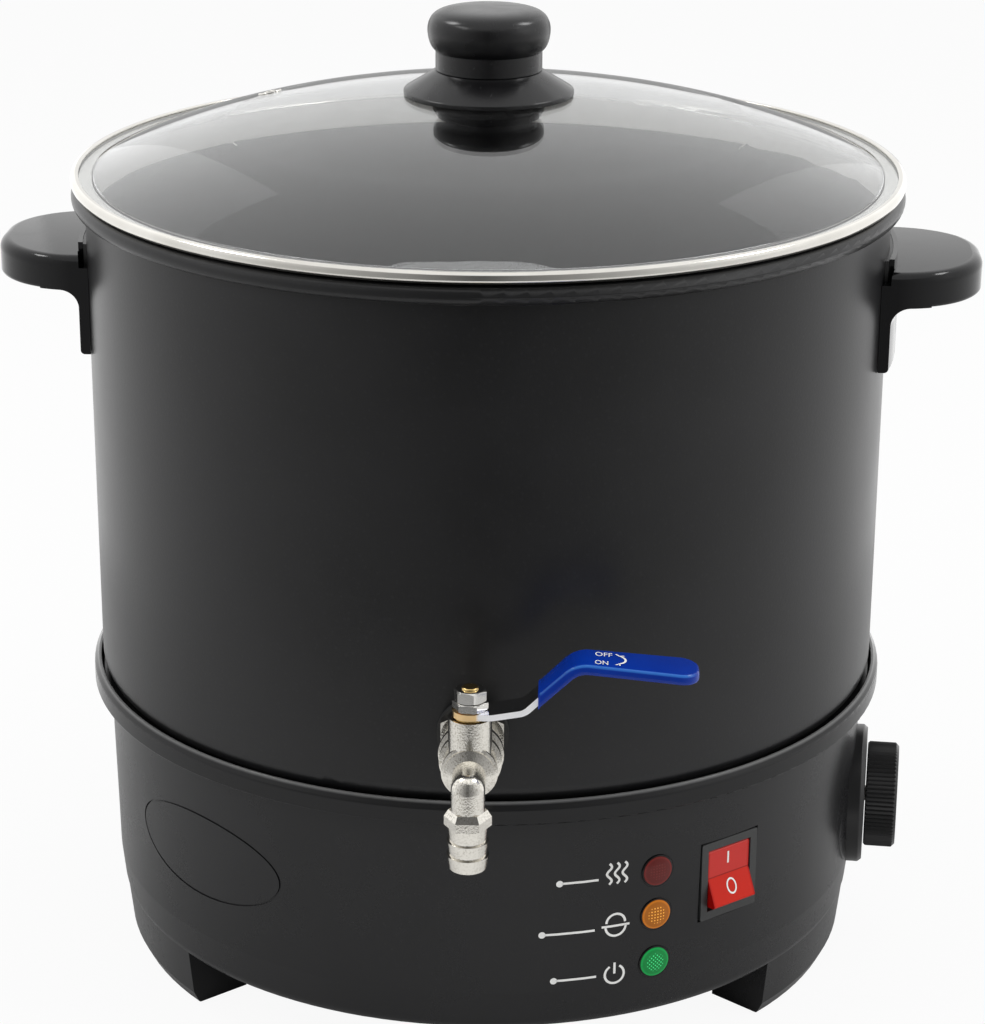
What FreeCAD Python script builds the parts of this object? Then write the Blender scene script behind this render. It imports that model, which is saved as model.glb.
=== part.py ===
import FreeCAD, Part
import math
import os
from FreeCAD import Matrix, Placement, Rotation, Vector

# Countertop wax melter: a coated aluminium pot on an electric base, with a drain
# tap and a glass lid. Millimetres. The origin is on the pot's axis at the level of
# the worktop. The tap points along -Y, the thermostat is on the +X side.
# Azimuths are in degrees from -Y towards +X.

# ---- pot
pot_inner_radius = 150.0
pot_wall = 2.0
pot_floor = 2.5
pot_inner_depth = 190.5
pot_corner_radius = 9.0
bead_width = 5.0
bead_height = 6.6
bead_corner_share = 0.48
bead_lip = 1.2

# ---- base housing
base_height = 108.0
base_inset = 2.5
wall_taper = 1.5
waist_height = 37.0
skirt_taper = 1.6
skirt_corner = 5.0
base_wall = 2.5
ledge_width = 11.5
arch_height = 21.0
arch_half_angle = 49.0
foot_setback = 2.1
foot_depth = 24.3
foot_corner = 2.5
foot_top_setback = 0.4
badge_azimuth = -44.0
badge_height = 71.0
badge_half_width = 40.0
badge_half_height = 17.0
badge_groove = 0.8
badge_groove_depth = 0.5

# ---- collar ring between the housing and the pot
collar_ledge = 4.0
collar_reach = 3.6
collar_shoulder = 6.4
collar_height = 8.6
collar_clearance = 0.7
collar_bevel = 1.2

# ---- bottom cover, its screws and the pads under the feet
cover_thickness = 1.2
cover_margin = 13.0
cover_overlap = 7.0
cover_screw_count = 6
cover_screw_radius = 1.8
cover_head_radius = 3.6
cover_head_height = 1.8
cover_screw_length = 9.0
cover_boss_radius = 4.5
cover_boss_height = 8.0
thread_engagement = 0.3
screw_gap = 0.2
vent_count = 12
vent_width = 4.0
vent_inner_share = 0.42
vent_outer_share = 0.75
pad_azimuths = (60.0, 120.0, 240.0, 300.0)
pad_setin = 11.0
pad_radius = 8.0
pad_thickness = 1.8
pad_proud = 0.6

# ---- heating parts, hung from the pot on studs
plate_margin = 55.0
heating_plate_thickness = 4.0
element_margin = 25.0
element_tube_radius = 4.0
element_gap_angle = 24.0
element_pin_radius = 1.5
element_pin_length = 14.0
element_pin_setback = 3.0
pan_window_half_width = 8.0
pan_window_half_length = 26.0
pan_thickness = 1.2
pan_depth = 20.0
pan_flange_margin = 9.0
pan_flank = 6.0
pan_bend = 2.0
pan_edge_gap = 1.5
insulation_thickness = 9.0
insulation_hole_radius = 22.0
insulation_gap = 2.5
stud_count = 3
stud_first = 30.0
stud_margin = 9.0
stud_radius = 2.5
stud_nut_flats = 8.0
stud_nut_height = 4.0
stud_overhang = 3.0
cutout_radius = 8.0
cutout_height = 9.0
cutout_rim = 2.0
cutout_rim_height = 3.5
tab_width = 6.3
tab_thickness = 0.8
tab_length = 7.0
tab_spacing = 3.5
bulb_radius = 3.0
bulb_length = 44.0
bulb_y = 26.0
capillary_drop_x = 42.0
capillary_drop = 14.0
capillary_lead = 24.0
capillary_radius = 1.0
capillary_bend = 5.0

# ---- thermostat: boss on the housing, bezel, knob and the switch body behind
thermostat_azimuth = 83.5
thermostat_height = 58.6
boss_setback = 1.0
boss_wall = 3.5
boss_rim = 0.2
boss_flare = 2.5
boss_depth = 7.0
boss_recess_gap = 0.3
bezel_radius = 27.4
bezel_thickness = 6.2
bezel_rim = 1.2
bezel_shoulder = 1.5
bezel_pocket_height = 8.0
bezel_pocket_depth = 2.4
knob_radius = 20.8
knob_thickness = 12.4
knob_gap = 0.4
knob_chamfer = 1.4
knob_base_chamfer = 0.8
knob_bore_share = 0.7
knob_rib_count = 72
knob_rib_depth = 0.7
shaft_radius = 3.0
shaft_flat = 1.2
shaft_clearance = 0.5
shaft_embed = 9.0
thermostat_width = 36.0
thermostat_tall = 44.0
thermostat_deep = 18.0
thermostat_plate_height = 12.0
thermostat_screw_pitch = 28.0
thermostat_screw_radius = 1.8
thermostat_screw_length = 9.0
thermostat_head_radius = 3.2
thermostat_head_height = 1.8

# ---- rocker switch
switch_azimuth = 38.8
switch_height = 71.0
switch_setback = 1.1
switch_land_margin = 2.0
switch_land_thickness = 3.0
switch_land_step = 0.2
switch_bezel_width = 26.6
switch_bezel_height = 31.0
switch_bezel_thickness = 1.9
switch_bezel_corner = 0.8
switch_recess_gap = 0.5
switch_body_width = 22.2
switch_body_height = 27.8
switch_body_depth = 21.0
switch_body_floor = 6.0
switch_hole_gap = 0.2
throat_relief = 0.8
rocker_width = 19.8
rocker_half_height = 11.2
rocker_gap = 0.3
rocker_sink = 0.4
rocker_throw = 24.0
rocker_pivot_depth = 2.6
rocker_root_depth = 6.0
rocker_root_taper = 0.8
rocker_edge = 0.9
rocker_pin_radius = 1.2
rocker_pin_root = 0.4
rocker_pin_length = 1.9
rocker_socket_depth = 1.8
blade_width = 6.3
blade_thickness = 0.8
blade_length = 8.0
blade_row = 7.0

# ---- indicator lamps, one above the other
lamp_azimuth = 26.4
lamp_heights = {"red": 81.0, "amber": 63.3, "green": 43.7}
lens_radius = 6.2
lens_proud = 0.5
lens_crown = 0.9
lens_rim = 0.6
lens_length = 10.0
lamp_sleeve = 0.35
lamp_hole_gap = 0.1
lamp_body_length = 22.0
lamp_rim_setback = 0.2
lamp_leg_width = 3.0
lamp_leg_length = 6.0
lamp_nut_radius = 9.0
lamp_nut_thickness = 2.4
lamp_nut_gap = 0.5

# ---- mains inlet: gland and terminal block
gland_azimuth = 180.0
gland_height = 46.0
gland_bore_radius = 3.6
gland_thread_radius = 7.8
gland_flange_radius = 11.0
gland_flange_thickness = 2.5
gland_nose_length = 12.0
gland_nose_taper = 1.4
gland_inner_length = 12.0
gland_spot_depth = 0.6
gland_nut_flats = 20.0
gland_nut_height = 4.0
terminal_size = (32.0, 20.0, 15.0)
terminal_gap = 1.0
terminal_screw_radius = 2.2
terminal_well_depth = 6.0

# ---- side handles
handle_turn = -2.0
handle_half_width = 37.0
handle_reach = 35.0
handle_drop = 24.5
handle_thickness = 13.6
handle_crown = 0.9
handle_edge = 4.0
handle_lower_edge = 1.5
handle_end_radius = 33.0
handle_leg_length = 38.5
handle_leg = 3.8
handle_cove = 7.0
handle_lip_height = 3.0
handle_lip_thickness = 3.0
handle_lip_half_width = 29.0
handle_notch_width = 3.3
handle_notch_depth = 5.0
handle_gap = 0.1
bracket_thickness = 1.2
bracket_half_width = 31.0
bracket_rise = 2.8
bracket_length = 32.5
bracket_seat_gap = 0.3
bracket_tongue_length = 18.0
bracket_tongue_half_width = 9.0
bracket_tongue_corner = 3.0
tongue_gap = 0.15
handle_screw_radius = 2.0
handle_screw_length = 6.6
handle_screw_head_radius = 4.0
handle_screw_head_height = 2.6
handle_screw_sink = 0.4
handle_screw_inset = 11.0
handle_hole_cover = 3.0

# ---- drain tap, with distances along its axis from the pot's outer wall
tap_rise = 28.5
tap_reach = 28.0
tap_shank_radius = 8.3
tap_shank_inside = 13.0
tap_hole_clearance = 0.3
tap_bore_radius = 3.7
tap_gasket_radius = 12.6
tap_gasket_thickness = 2.5
gasket_hole_gap = 0.1
tap_hex_flats = 22.0
tap_hex_length = 5.5
tap_hex_chamfer = 1.2
tap_washer_radius = 13.5
tap_washer_thickness = 1.0
lock_nut_flats = 24.0
lock_nut_length = 5.0
tap_core_radius = 9.9
tap_core_taper = 0.9
tap_ribs = ((9.2, 11.35), (15.4, 10.8))
tap_rib_width = 2.0
tap_rib_slope = 0.5
tap_brow_start = 24.6
tap_brow_radius = 9.7
tap_brow_width = 1.3
tap_nose_radius = 8.8
tap_nose_start = 27.6
tap_cone_length = 1.6
tap_chamber_radius = 7.2
tap_boss_radius = 7.5
tap_boss_rise = 18.4
ball_radius = 5.8
seat_inner_share = 0.52
seat_thickness = 3.2
seat_clearance = 0.1
sliding_gap = 0.02
stem_radius = 3.0
stem_clearance = 0.05
stem_collar_radius = 4.3
stem_collar_height = 1.8
stem_collar_gap = 0.3
stem_slot_width = 2.6
stem_slot_depth = 2.0
stem_tang_length = 5.2
stem_shoulder = 0.9
packing_radius = 5.4
packing_height = 2.0
packing_nut_proud = 0.3
packing_nut_thread = 2.0
packing_slot_width = 1.6
packing_slot_depth = 0.9
spout_pipe_radius = 5.8
spout_reach = 19.5
spout_drop = 7.2
spout_hex_flats = 14.0
spout_hex_height = 3.2
spout_hex_point = 2.4
spout_hex_neck_flats = 11.4
barb_crest_radius = 7.15
barb_root_radius = 6.4
barb_neck_radius = 6.9
barb_ridge_height = 5.3
barb_ridge_edge = 0.2
barb_ridge_count = 3
spout_thread_radius = 4.9
spout_thread_length = 3.4
spout_bore_radius = 3.4

# ---- tap lever, with distances along it from the stem's axis
lever_thickness = 2.2
lever_hub_radius = 6.2
lever_half_width = 5.6
lever_seat_gap = 0.3
lever_flat = 7.2
lever_knee = (18.5, 2.0, 6.0)
lever_crest = (36.0, 19.1, 9.0)
lever_flat_bend = 12.0
lever_length = 74.0
lever_end_rise = 15.7
lever_nut_flats = 10.0
jam_nut_flats = 10.8
jam_nut_height = 3.1
lever_nut_height = 4.2
lever_nut_gap = 0.1
lever_nut_chamfer = 0.9
jam_nut_turn = -7.0
lever_nut_turn = -16.0
stem_tip_proud = 0.8
grip_start = 23.0
grip_length = 77.0
grip_middle_half_width = 7.4
grip_half_width = 8.5
grip_skin = 0.85
grip_tip_radius = 6.5
grip_overlap = 3.0

# ---- lid
lid_gap = 0.3
lid_band_sheet = 0.7
lid_band_lap = 6.0
lid_band_corner = 1.6
lid_lip_clearance = 0.9
lid_lip_depth = 5.0
glass_thickness = 3.2
glass_seat_gap = 0.05
glass_flange = 8.0
glass_crown_radius = 420.0
glass_crown_share = 0.671
glass_shoulder_radius = 300.0
glass_root_share = 0.55
glass_edge_clearance = 0.5
glass_edge_rounding = 1.3
vent_azimuth = -118.3
vent_setin = 50.0
vent_hole_radius = 3.2
grommet_flange = 1.5
grommet_sheet = 0.5
grommet_gap = 0.1
grommet_lower_setback = 0.6
grommet_hole_radius = 1.9

# ---- lid knob
skirt_outer_radius = 32.0
skirt_edge_height = 1.6
skirt_height = 9.0
knob_neck_radius = 20.0
knob_neck_height = 6.5
lid_knob_radius = 23.0
lid_knob_widest = 15.0
lid_knob_height = 23.2
knob_hollow_radius = 15.0
knob_hollow_height = 14.0
knob_core_radius = 6.0
knob_seat_gap = 0.05
under_washer_radius = 21.0
under_washer_thickness = 8.0
under_washer_rim = 2.0
under_washer_step = 3.0
under_washer_gap = 0.6
lid_screw_radius = 2.5
lid_screw_head_radius = 5.0
lid_screw_head_height = 3.0
lid_screw_well_gap = 0.4
lid_screw_length = 26.0
lid_hole_clearance = 0.6

# ---- places that follow from the sizes above
UP = Vector(0, 0, 1)
pot_radius = pot_inner_radius + pot_wall
far = 3 * pot_radius
pot_bottom_z = base_height + collar_ledge
pot_floor_z = pot_bottom_z + pot_floor
pot_rim_z = pot_floor_z + pot_inner_depth
base_top_radius = pot_radius - base_inset
waist_radius = base_top_radius - wall_taper
skirt_radius = waist_radius - skirt_taper
ledge_bottom_z = base_height - base_wall
ledge_inner_radius = waist_radius - base_wall - ledge_width
foot_bottom_z = pad_proud
foot_radius = skirt_radius - foot_setback
foot_inner_radius = foot_radius - foot_depth
pad_circle_radius = foot_inner_radius + pad_setin
cover_hole_radius = foot_inner_radius - cover_margin
cover_radius = cover_hole_radius + cover_overlap
cover_screw_circle = (cover_hole_radius + cover_radius) / 2 + 0.5
collar_outer_radius = pot_radius + collar_reach
heating_plate_radius = pot_inner_radius - plate_margin
element_ring_radius = heating_plate_radius - element_margin
stud_circle_radius = ledge_inner_radius - stud_margin
pan_flange_inner_radius = stud_circle_radius - pan_flange_margin
pan_bowl_radius = pan_flange_inner_radius - pan_flank
boss_seat = waist_radius - boss_setback
switch_land = waist_radius - switch_setback
handle_top_z = pot_rim_z - handle_drop
handle_under_z = handle_top_z - handle_thickness
handle_leg_bottom = handle_top_z - handle_leg_length
tap_height = pot_floor_z + tap_rise
tap_stem_distance = pot_radius + tap_reach
tap_boss_top = tap_height + tap_boss_rise
spout_distance = tap_stem_distance + spout_reach
spout_hex_top = tap_height - spout_drop
hex_bottom = spout_hex_top - spout_hex_point - spout_hex_height
barb_bottom = hex_bottom - barb_ridge_height * barb_ridge_count
lid_outer_radius = pot_radius + bead_width
glass_shoulder_edge = lid_outer_radius - glass_flange
glass_crown_half_width = glass_shoulder_edge * glass_crown_share


# ---- shape helpers

def rounded_corner(before, corner, after, radius):
    """Start, middle and end of the arc of this radius that rounds a corner."""
    to_before = (before - corner).normalize()
    to_after = (after - corner).normalize()
    half = to_before.getAngle(to_after) / 2
    reach = radius / math.tan(half)
    centre = corner + (to_before + to_after).normalize() * (radius / math.sin(half))
    middle = centre + (corner - centre).normalize() * radius
    return corner + to_before * reach, middle, corner + to_after * reach


def outline(points, upright=False):
    """Closed wire through (u, v) points. A third number rounds that corner."""
    at = [Vector(p[0], 0, p[1]) if upright else Vector(p[0], p[1], 0) for p in points]
    count = len(at)
    corners = []
    for i, point in enumerate(points):
        if len(point) > 2 and point[2] > 0:
            corners.append(rounded_corner(at[i - 1], at[i], at[(i + 1) % count], point[2]))
        else:
            corners.append((at[i], None, at[i]))
    edges = []
    for i, (start, middle, end) in enumerate(corners):
        if middle is not None:
            edges.append(Part.Arc(start, middle, end).toShape())
        following = corners[(i + 1) % count][0]
        if end.distanceToPoint(following) > 1e-6:
            edges.append(Part.LineSegment(end, following).toShape())
    return Part.Wire(edges)


def turned(points, first=0.0, sweep=360.0):
    """Solid of revolution about Z of a closed (radius, height) outline."""
    face = Part.Face(outline(points, upright=True))
    if first:
        face.rotate(Vector(0, 0, 0), UP, first)
    return face.revolve(Vector(0, 0, 0), UP, sweep)


def prism(points, bottom, top):
    """Upright solid with an (x, y) outline."""
    solid = Part.Face(outline(points)).extrude(UP * (top - bottom))
    solid.translate(UP * bottom)
    return solid


def disc(radius, bottom, top):
    return Part.makeCylinder(radius, top - bottom, UP * bottom)


def ring(outer, inner, bottom, top):
    return disc(outer, bottom, top).cut(disc(inner, bottom - 1, top + 1))


def hexagon_wire(flats, height):
    """Level hexagon round the Z axis with two corners on the X axis."""
    reach = flats / math.sqrt(3)
    wire = outline([(reach * math.cos(math.radians(a)), reach * math.sin(math.radians(a)))
                    for a in range(0, 360, 60)])
    wire.translate(UP * height)
    return wire


def hexagon(flats, bottom, top, chamfer=0.0):
    """Hexagonal prism on that outline, its end corners turned off."""
    reach = flats / math.sqrt(3)
    solid = Part.Face(hexagon_wire(flats, bottom)).extrude(UP * (top - bottom))
    if chamfer:
        slope = chamfer / math.sqrt(3)
        solid = solid.common(turned([(0, bottom), (reach - chamfer, bottom),
                                     (reach, bottom + slope), (reach, top - slope),
                                     (reach - chamfer, top), (0, top)]))
    return solid


def box(width, depth, bottom, top):
    """Box centred on the Z axis."""
    return Part.makeBox(width, depth, top - bottom, Vector(-width / 2, -depth / 2, bottom))


def station(azimuth, height=0.0, distance=0.0):
    """Placement on the wall: local X to the right, Y up and Z outwards."""
    turn = math.radians(azimuth)
    out = Vector(math.sin(turn), -math.cos(turn), 0)
    right = Vector(math.cos(turn), math.sin(turn), 0)
    return Placement(Matrix(right.x, 0, out.x, out.x * distance,
                            right.y, 0, out.y, out.y * distance,
                            0, 1, 0, height,
                            0, 0, 0, 1))


def placed(shape, placement):
    copy = shape.copy()
    copy.Placement = placement.multiply(copy.Placement)
    return copy


def moved(shape, x=0.0, y=0.0, z=0.0):
    copy = shape.copy()
    copy.translate(Vector(x, y, z))
    return copy


def spun(shape, azimuth):
    """Copy turned about the Z axis."""
    copy = shape.copy()
    copy.rotate(Vector(0, 0, 0), UP, azimuth)
    return copy


def joined(shapes):
    whole = shapes[0]
    for shape in shapes[1:]:
        whole = whole.fuse(shape)
    return whole.removeSplitter()


def tube_path(points, radius, bend):
    """Round tube along straight runs joined by tangent arcs."""
    at = [Vector(*p) for p in points]
    edges = []
    start = at[0]
    for i in range(1, len(at) - 1):
        first, middle, last = rounded_corner(at[i - 1], at[i], at[i + 1], bend)
        edges.append(Part.LineSegment(start, first).toShape())
        edges.append(Part.Arc(first, middle, last).toShape())
        start = last
    edges.append(Part.LineSegment(start, at[-1]).toShape())
    section = Part.Wire(Part.Circle(at[0], at[1] - at[0], radius).toShape())
    return Part.Wire(edges).makePipeShell([section], True, True)


def export(node, *shapes):
    solids = [solid for shape in shapes for solid in shape.Solids]
    whole = solids[0] if len(solids) == 1 else Part.makeCompound(solids)
    whole.exportStep("parts/" + node + ".step")


# ---- base housing and what closes it

def housing_skin(inset, bottom, top):
    """Outline of the housing's outer surface, or of one parallel to it inside."""
    corner = max(skirt_corner - inset, 1.0)
    return [(0, bottom), (skirt_radius - inset, bottom, corner),
            (waist_radius - inset, waist_height), (base_top_radius - inset, top), (0, top)]


def foot(inset, clearance_above):
    """Side foot between the front and rear arches, or the pocket inside it."""
    trim = math.degrees(inset / foot_radius)
    outer = waist_radius - inset - foot_top_setback
    section = [(foot_inner_radius + inset, foot_bottom_z + inset),
               (foot_radius - inset - foot_corner, foot_bottom_z + inset, foot_corner / 2),
               (foot_radius - inset, foot_bottom_z + inset + 2 * foot_corner),
               (outer, waist_height - 1 + clearance_above),
               (foot_inner_radius + inset, arch_height + base_wall + clearance_above)]
    first = arch_half_angle + trim - 90
    return turned(section, first, 180 - 2 * arch_half_angle - 2 * trim)


def bezel_recess(gap):
    return box(switch_bezel_width + 2 * gap, switch_bezel_height + 2 * gap, 0, switch_body_depth)


def badge_line():
    """Shallow oval line on the wall, round a bare field."""
    outer = Part.Ellipse(Vector(0, 0, 0), badge_half_width, badge_half_height).toShape()
    inner = Part.Ellipse(Vector(0, 0, 0), badge_half_width - badge_groove,
                         badge_half_height - badge_groove).toShape()
    reach = UP * base_top_radius
    loop = Part.Face(Part.Wire(outer)).extrude(reach).cut(Part.Face(Part.Wire(inner)).extrude(reach))
    loop = placed(loop, station(badge_azimuth, badge_height, waist_radius - badge_half_width))
    return loop.cut(turned(housing_skin(badge_groove_depth, arch_height, base_height)))


def cover_screw_places():
    step = 360.0 / cover_screw_count
    return [step * (i + 0.5) for i in range(cover_screw_count)]


def base_housing():
    shell = turned(housing_skin(0, arch_height, base_height))
    root = boss_seat - boss_depth
    boss_radius = bezel_radius + boss_rim
    boss = turned([(0, root), (boss_radius + boss_depth * boss_flare, root),
                   (boss_radius, boss_seat), (0, boss_seat)])
    boss = placed(boss, station(thermostat_azimuth, thermostat_height))
    cavity = turned([(0, arch_height + base_wall),
                     (skirt_radius - base_wall, arch_height + base_wall, skirt_corner - base_wall),
                     (waist_radius - base_wall, waist_height),
                     (base_top_radius - base_wall, ledge_bottom_z),
                     (ledge_inner_radius, ledge_bottom_z),
                     (ledge_inner_radius, base_height + 1), (0, base_height + 1)])
    inner_wall = disc(waist_radius - base_wall, 0, base_height)
    through = 4 * base_wall
    margin = 2 * switch_land_margin
    land = placed(box(switch_bezel_width + margin, switch_bezel_height + margin, -switch_land_thickness,
                      2 * switch_land_thickness), switch_place())
    land = land.common(turned(housing_skin(switch_land_step, arch_height, base_height)))
    foot_right = foot(0, 0)
    foot_left = spun(foot_right, 180)
    solid = joined([shell, boss.cut(inner_wall), foot_right, foot_left])
    solid = solid.cut(cavity).fuse(land)
    pocket = foot(base_wall, base_wall)
    cuts = [pocket, spun(pocket, 180), disc(cover_hole_radius, 0, arch_height + base_wall + 1)]
    cuts.append(placed(bezel_recess(switch_recess_gap), switch_place()))
    cuts.append(placed(box(switch_body_width + 2 * switch_hole_gap, switch_body_height + 2 * switch_hole_gap,
                           -through, through), switch_place()))
    for height in lamp_heights.values():
        hole = disc(lens_radius + lamp_sleeve + lamp_hole_gap, -through, through)
        cuts.append(placed(hole, lamp_place(height)))
    dial = station(thermostat_azimuth, thermostat_height, boss_seat)
    cuts.append(placed(disc(bezel_radius + boss_recess_gap, 0, bezel_thickness), dial))
    cuts.append(placed(disc(shaft_radius + 2 * shaft_clearance, -boss_depth - through, 1), dial))
    for side in (-1, 1):
        hole = disc(thermostat_screw_radius + screw_gap, -boss_depth - through, 1)
        cuts.append(placed(moved(hole, x=side * thermostat_screw_pitch / 2), dial))
    inlet = station(gland_azimuth, gland_height, gland_seat())
    cuts.append(placed(disc(gland_thread_radius + screw_gap, -through, through), inlet))
    cuts.append(placed(disc(gland_flange_radius + boss_recess_gap, 0, through), inlet))
    cuts.append(badge_line())
    for azimuth in pad_azimuths:
        seat = disc(pad_radius + lamp_hole_gap, foot_bottom_z - 1, pad_thickness)
        cuts.append(spun(moved(seat, y=-pad_circle_radius), azimuth))
    solid = solid.cut(Part.makeCompound(cuts))
    bosses = []
    holes = [disc(cover_hole_radius, 0, arch_height)]
    boss_top = arch_height + cover_boss_height
    for azimuth in cover_screw_places():
        stand = disc(cover_boss_radius, arch_height, boss_top)
        hole = disc(cover_screw_radius - thread_engagement, arch_height - 1, boss_top + 1)
        bosses.append(spun(moved(stand, y=-cover_screw_circle), azimuth))
        holes.append(spun(moved(hole, y=-cover_screw_circle), azimuth))
    return solid.fuse(bosses).cut(Part.makeCompound(holes)).removeSplitter()


def bottom_cover():
    plate = disc(cover_radius, arch_height - cover_thickness, arch_height)
    slots = []
    half = vent_width / 2
    bend = 0.98 * half
    near = vent_inner_share * cover_hole_radius
    end = vent_outer_share * cover_hole_radius
    for i in range(vent_count):
        slot = prism([(-half, -end, bend), (half, -end, bend), (half, -near, bend), (-half, -near, bend)],
                     arch_height - cover_thickness - 1, arch_height + 1)
        slots.append(spun(slot, 360.0 / vent_count * i))
    for azimuth in cover_screw_places():
        hole = disc(cover_screw_radius + screw_gap, arch_height - cover_thickness - 1, arch_height + 1)
        slots.append(spun(moved(hole, y=-cover_screw_circle), azimuth))
    return plate.cut(Part.makeCompound(slots))


def pan_screw(radius, length, head_radius, head_height):
    """Screw with its head's seat at z = 0, the shank rising and the head below."""
    head = turned([(0, -head_height), (head_radius, -head_height, head_height * 0.6),
                   (head_radius, 0), (0, 0)])
    slot = head_radius / 4
    cross = joined([box(head_radius, slot, -head_height - 1, -head_height / 2),
                    box(slot, head_radius, -head_height - 1, -head_height / 2)])
    return head.fuse(disc(radius, 0, length)).removeSplitter().cut(cross)


def cover_screws():
    screw = pan_screw(cover_screw_radius - thread_engagement, cover_screw_length, cover_head_radius,
                      cover_head_height)
    screw = moved(screw, y=-cover_screw_circle, z=arch_height - cover_thickness)
    return [spun(screw, azimuth) for azimuth in cover_screw_places()]


def foot_pads():
    pad = turned([(0, 0), (pad_radius, 0, 0.3), (pad_radius, pad_thickness), (0, pad_thickness)])
    return [spun(moved(pad, y=-pad_circle_radius), azimuth) for azimuth in pad_azimuths]


def collar_ring():
    inner = pot_radius + collar_clearance
    top = base_height + collar_height
    return turned([(ledge_inner_radius, base_height), (collar_outer_radius, base_height, 0.8),
                   (collar_outer_radius, base_height + collar_shoulder, 1.6),
                   (inner + collar_bevel, top, 0.5), (inner, top, 0.4),
                   (inner, pot_bottom_z, 1.0), (ledge_inner_radius, pot_bottom_z)])


# ---- pot and the heating parts under it

def stud_places():
    return [360.0 / stud_count * i + stud_first for i in range(stud_count)]


def stud_bottom():
    return ledge_bottom_z - pan_thickness - stud_nut_height - stud_overhang


def pot():
    rim_out = pot_radius + bead_width
    bead_corner = bead_height * bead_corner_share
    wall = turned([(0, pot_bottom_z), (pot_radius, pot_bottom_z, pot_corner_radius),
                   (pot_radius, pot_rim_z - bead_height, 0.8),
                   (rim_out, pot_rim_z - bead_height, bead_corner),
                   (rim_out, pot_rim_z, bead_corner),
                   (pot_inner_radius, pot_rim_z, bead_lip),
                   (pot_inner_radius, pot_floor_z, pot_corner_radius - pot_wall),
                   (0, pot_floor_z)])
    tap_hole = placed(disc(tap_shank_radius + tap_hole_clearance, pot_inner_radius / 2, pot_radius + 2),
                      station(0, tap_height))
    studs = [spun(moved(disc(stud_radius, stud_bottom(), pot_bottom_z), y=-stud_circle_radius), a)
             for a in stud_places()]
    return wall.cut(tap_hole).fuse(studs).removeSplitter()


def heating_plate():
    bottom = pot_bottom_z - heating_plate_thickness
    return turned([(0, bottom), (heating_plate_radius, bottom, 1.0),
                   (heating_plate_radius, pot_bottom_z), (0, pot_bottom_z)])


def heating_element():
    centre_z = pot_bottom_z - heating_plate_thickness - element_tube_radius
    loop = Part.Face(Part.Wire(Part.Circle(Vector(element_ring_radius, 0, centre_z), Vector(0, 1, 0),
                                           element_tube_radius).toShape()))
    loop = loop.revolve(Vector(0, 0, 0), UP, 360 - element_gap_angle)
    loop.rotate(Vector(0, 0, 0), UP, element_gap_angle / 2)
    pins = []
    for side in (-1, 1):
        pin = disc(element_pin_radius, centre_z - element_pin_length, centre_z)
        place = side * (element_gap_angle / 2 + element_pin_setback)
        pins.append(spun(moved(pin, x=element_ring_radius), place))
    return loop.fuse(pins).removeSplitter()


def pan_window(bottom, top):
    """Opening under the element's ends, for its pins."""
    near = element_ring_radius - pan_window_half_width
    end = element_ring_radius + pan_window_half_width
    half = pan_window_half_length
    return prism([(near, -half, pan_bend), (end, -half, pan_bend),
                  (end, half, pan_bend), (near, half, pan_bend)], bottom, top)


def capillary_hole(bottom, top):
    return moved(disc(3 * capillary_radius, bottom, top), x=capillary_drop_x, y=bulb_y)


def heat_shield_pan():
    top = ledge_bottom_z
    bottom = top - pan_depth
    edge = base_top_radius - base_wall - pan_edge_gap
    t = pan_thickness
    bend = pan_bend
    sheet = turned([(0, bottom), (pan_bowl_radius, bottom, bend + t),
                    (pan_flange_inner_radius, top - t, bend), (edge, top - t), (edge, top),
                    (pan_flange_inner_radius - t / 2, top, bend + t),
                    (pan_bowl_radius - t, bottom + t, bend), (0, bottom + t)])
    cuts = [pan_window(bottom - 1, bottom + t + 1), capillary_hole(bottom - 1, bottom + t + 1)]
    for azimuth in stud_places():
        hole = disc(stud_radius + screw_gap, top - t - 1, top + 1)
        cuts.append(spun(moved(hole, y=-stud_circle_radius), azimuth))
    return sheet.cut(Part.makeCompound(cuts))


def insulation_disc():
    bottom = ledge_bottom_z - pan_depth + pan_thickness
    top = bottom + insulation_thickness
    pad = ring(pan_bowl_radius - pan_thickness - insulation_gap, insulation_hole_radius, bottom, top)
    return pad.cut(Part.makeCompound([pan_window(bottom - 1, top + 1), capillary_hole(bottom - 1, top + 1)]))


def stud_nuts():
    top = ledge_bottom_z - pan_thickness
    nut = hexagon(stud_nut_flats, top - stud_nut_height, top, 0.6).cut(disc(stud_radius, 0, top + 1))
    return [spun(moved(nut, y=-stud_circle_radius), azimuth) for azimuth in stud_places()]


def thermal_cutout():
    top = pot_bottom_z - heating_plate_thickness
    low = top - cutout_height
    rim = top - cutout_rim_height
    can = turned([(0, low), (cutout_radius - cutout_rim, low), (cutout_radius - cutout_rim, rim),
                  (cutout_radius, rim), (cutout_radius, top, 0.5), (0, top)])
    tabs = [moved(box(tab_thickness, tab_width, low - tab_length, low), x=side * tab_spacing)
            for side in (-1, 1)]
    return joined([can] + tabs)


def thermostat_bulb():
    z = pot_bottom_z - heating_plate_thickness - bulb_radius
    bulb = Part.makeCylinder(bulb_radius, bulb_length, Vector(-bulb_length / 2, bulb_y, z), Vector(1, 0, 0))
    drop_z = ledge_bottom_z - pan_depth - capillary_drop
    back = boss_seat - boss_wall - thermostat_deep
    socket = station(thermostat_azimuth, thermostat_height + thermostat_tall / 4, back).Base
    lead = station(thermostat_azimuth, thermostat_height + thermostat_tall / 4, back - capillary_lead).Base
    line = tube_path([(bulb_length / 2 - 2, bulb_y, z), (capillary_drop_x, bulb_y, z),
                      (capillary_drop_x, bulb_y, drop_z), (lead.x, lead.y, lead.z),
                      (socket.x, socket.y, socket.z)], capillary_radius, capillary_bend)
    return bulb.fuse(line)


# ---- thermostat

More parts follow.
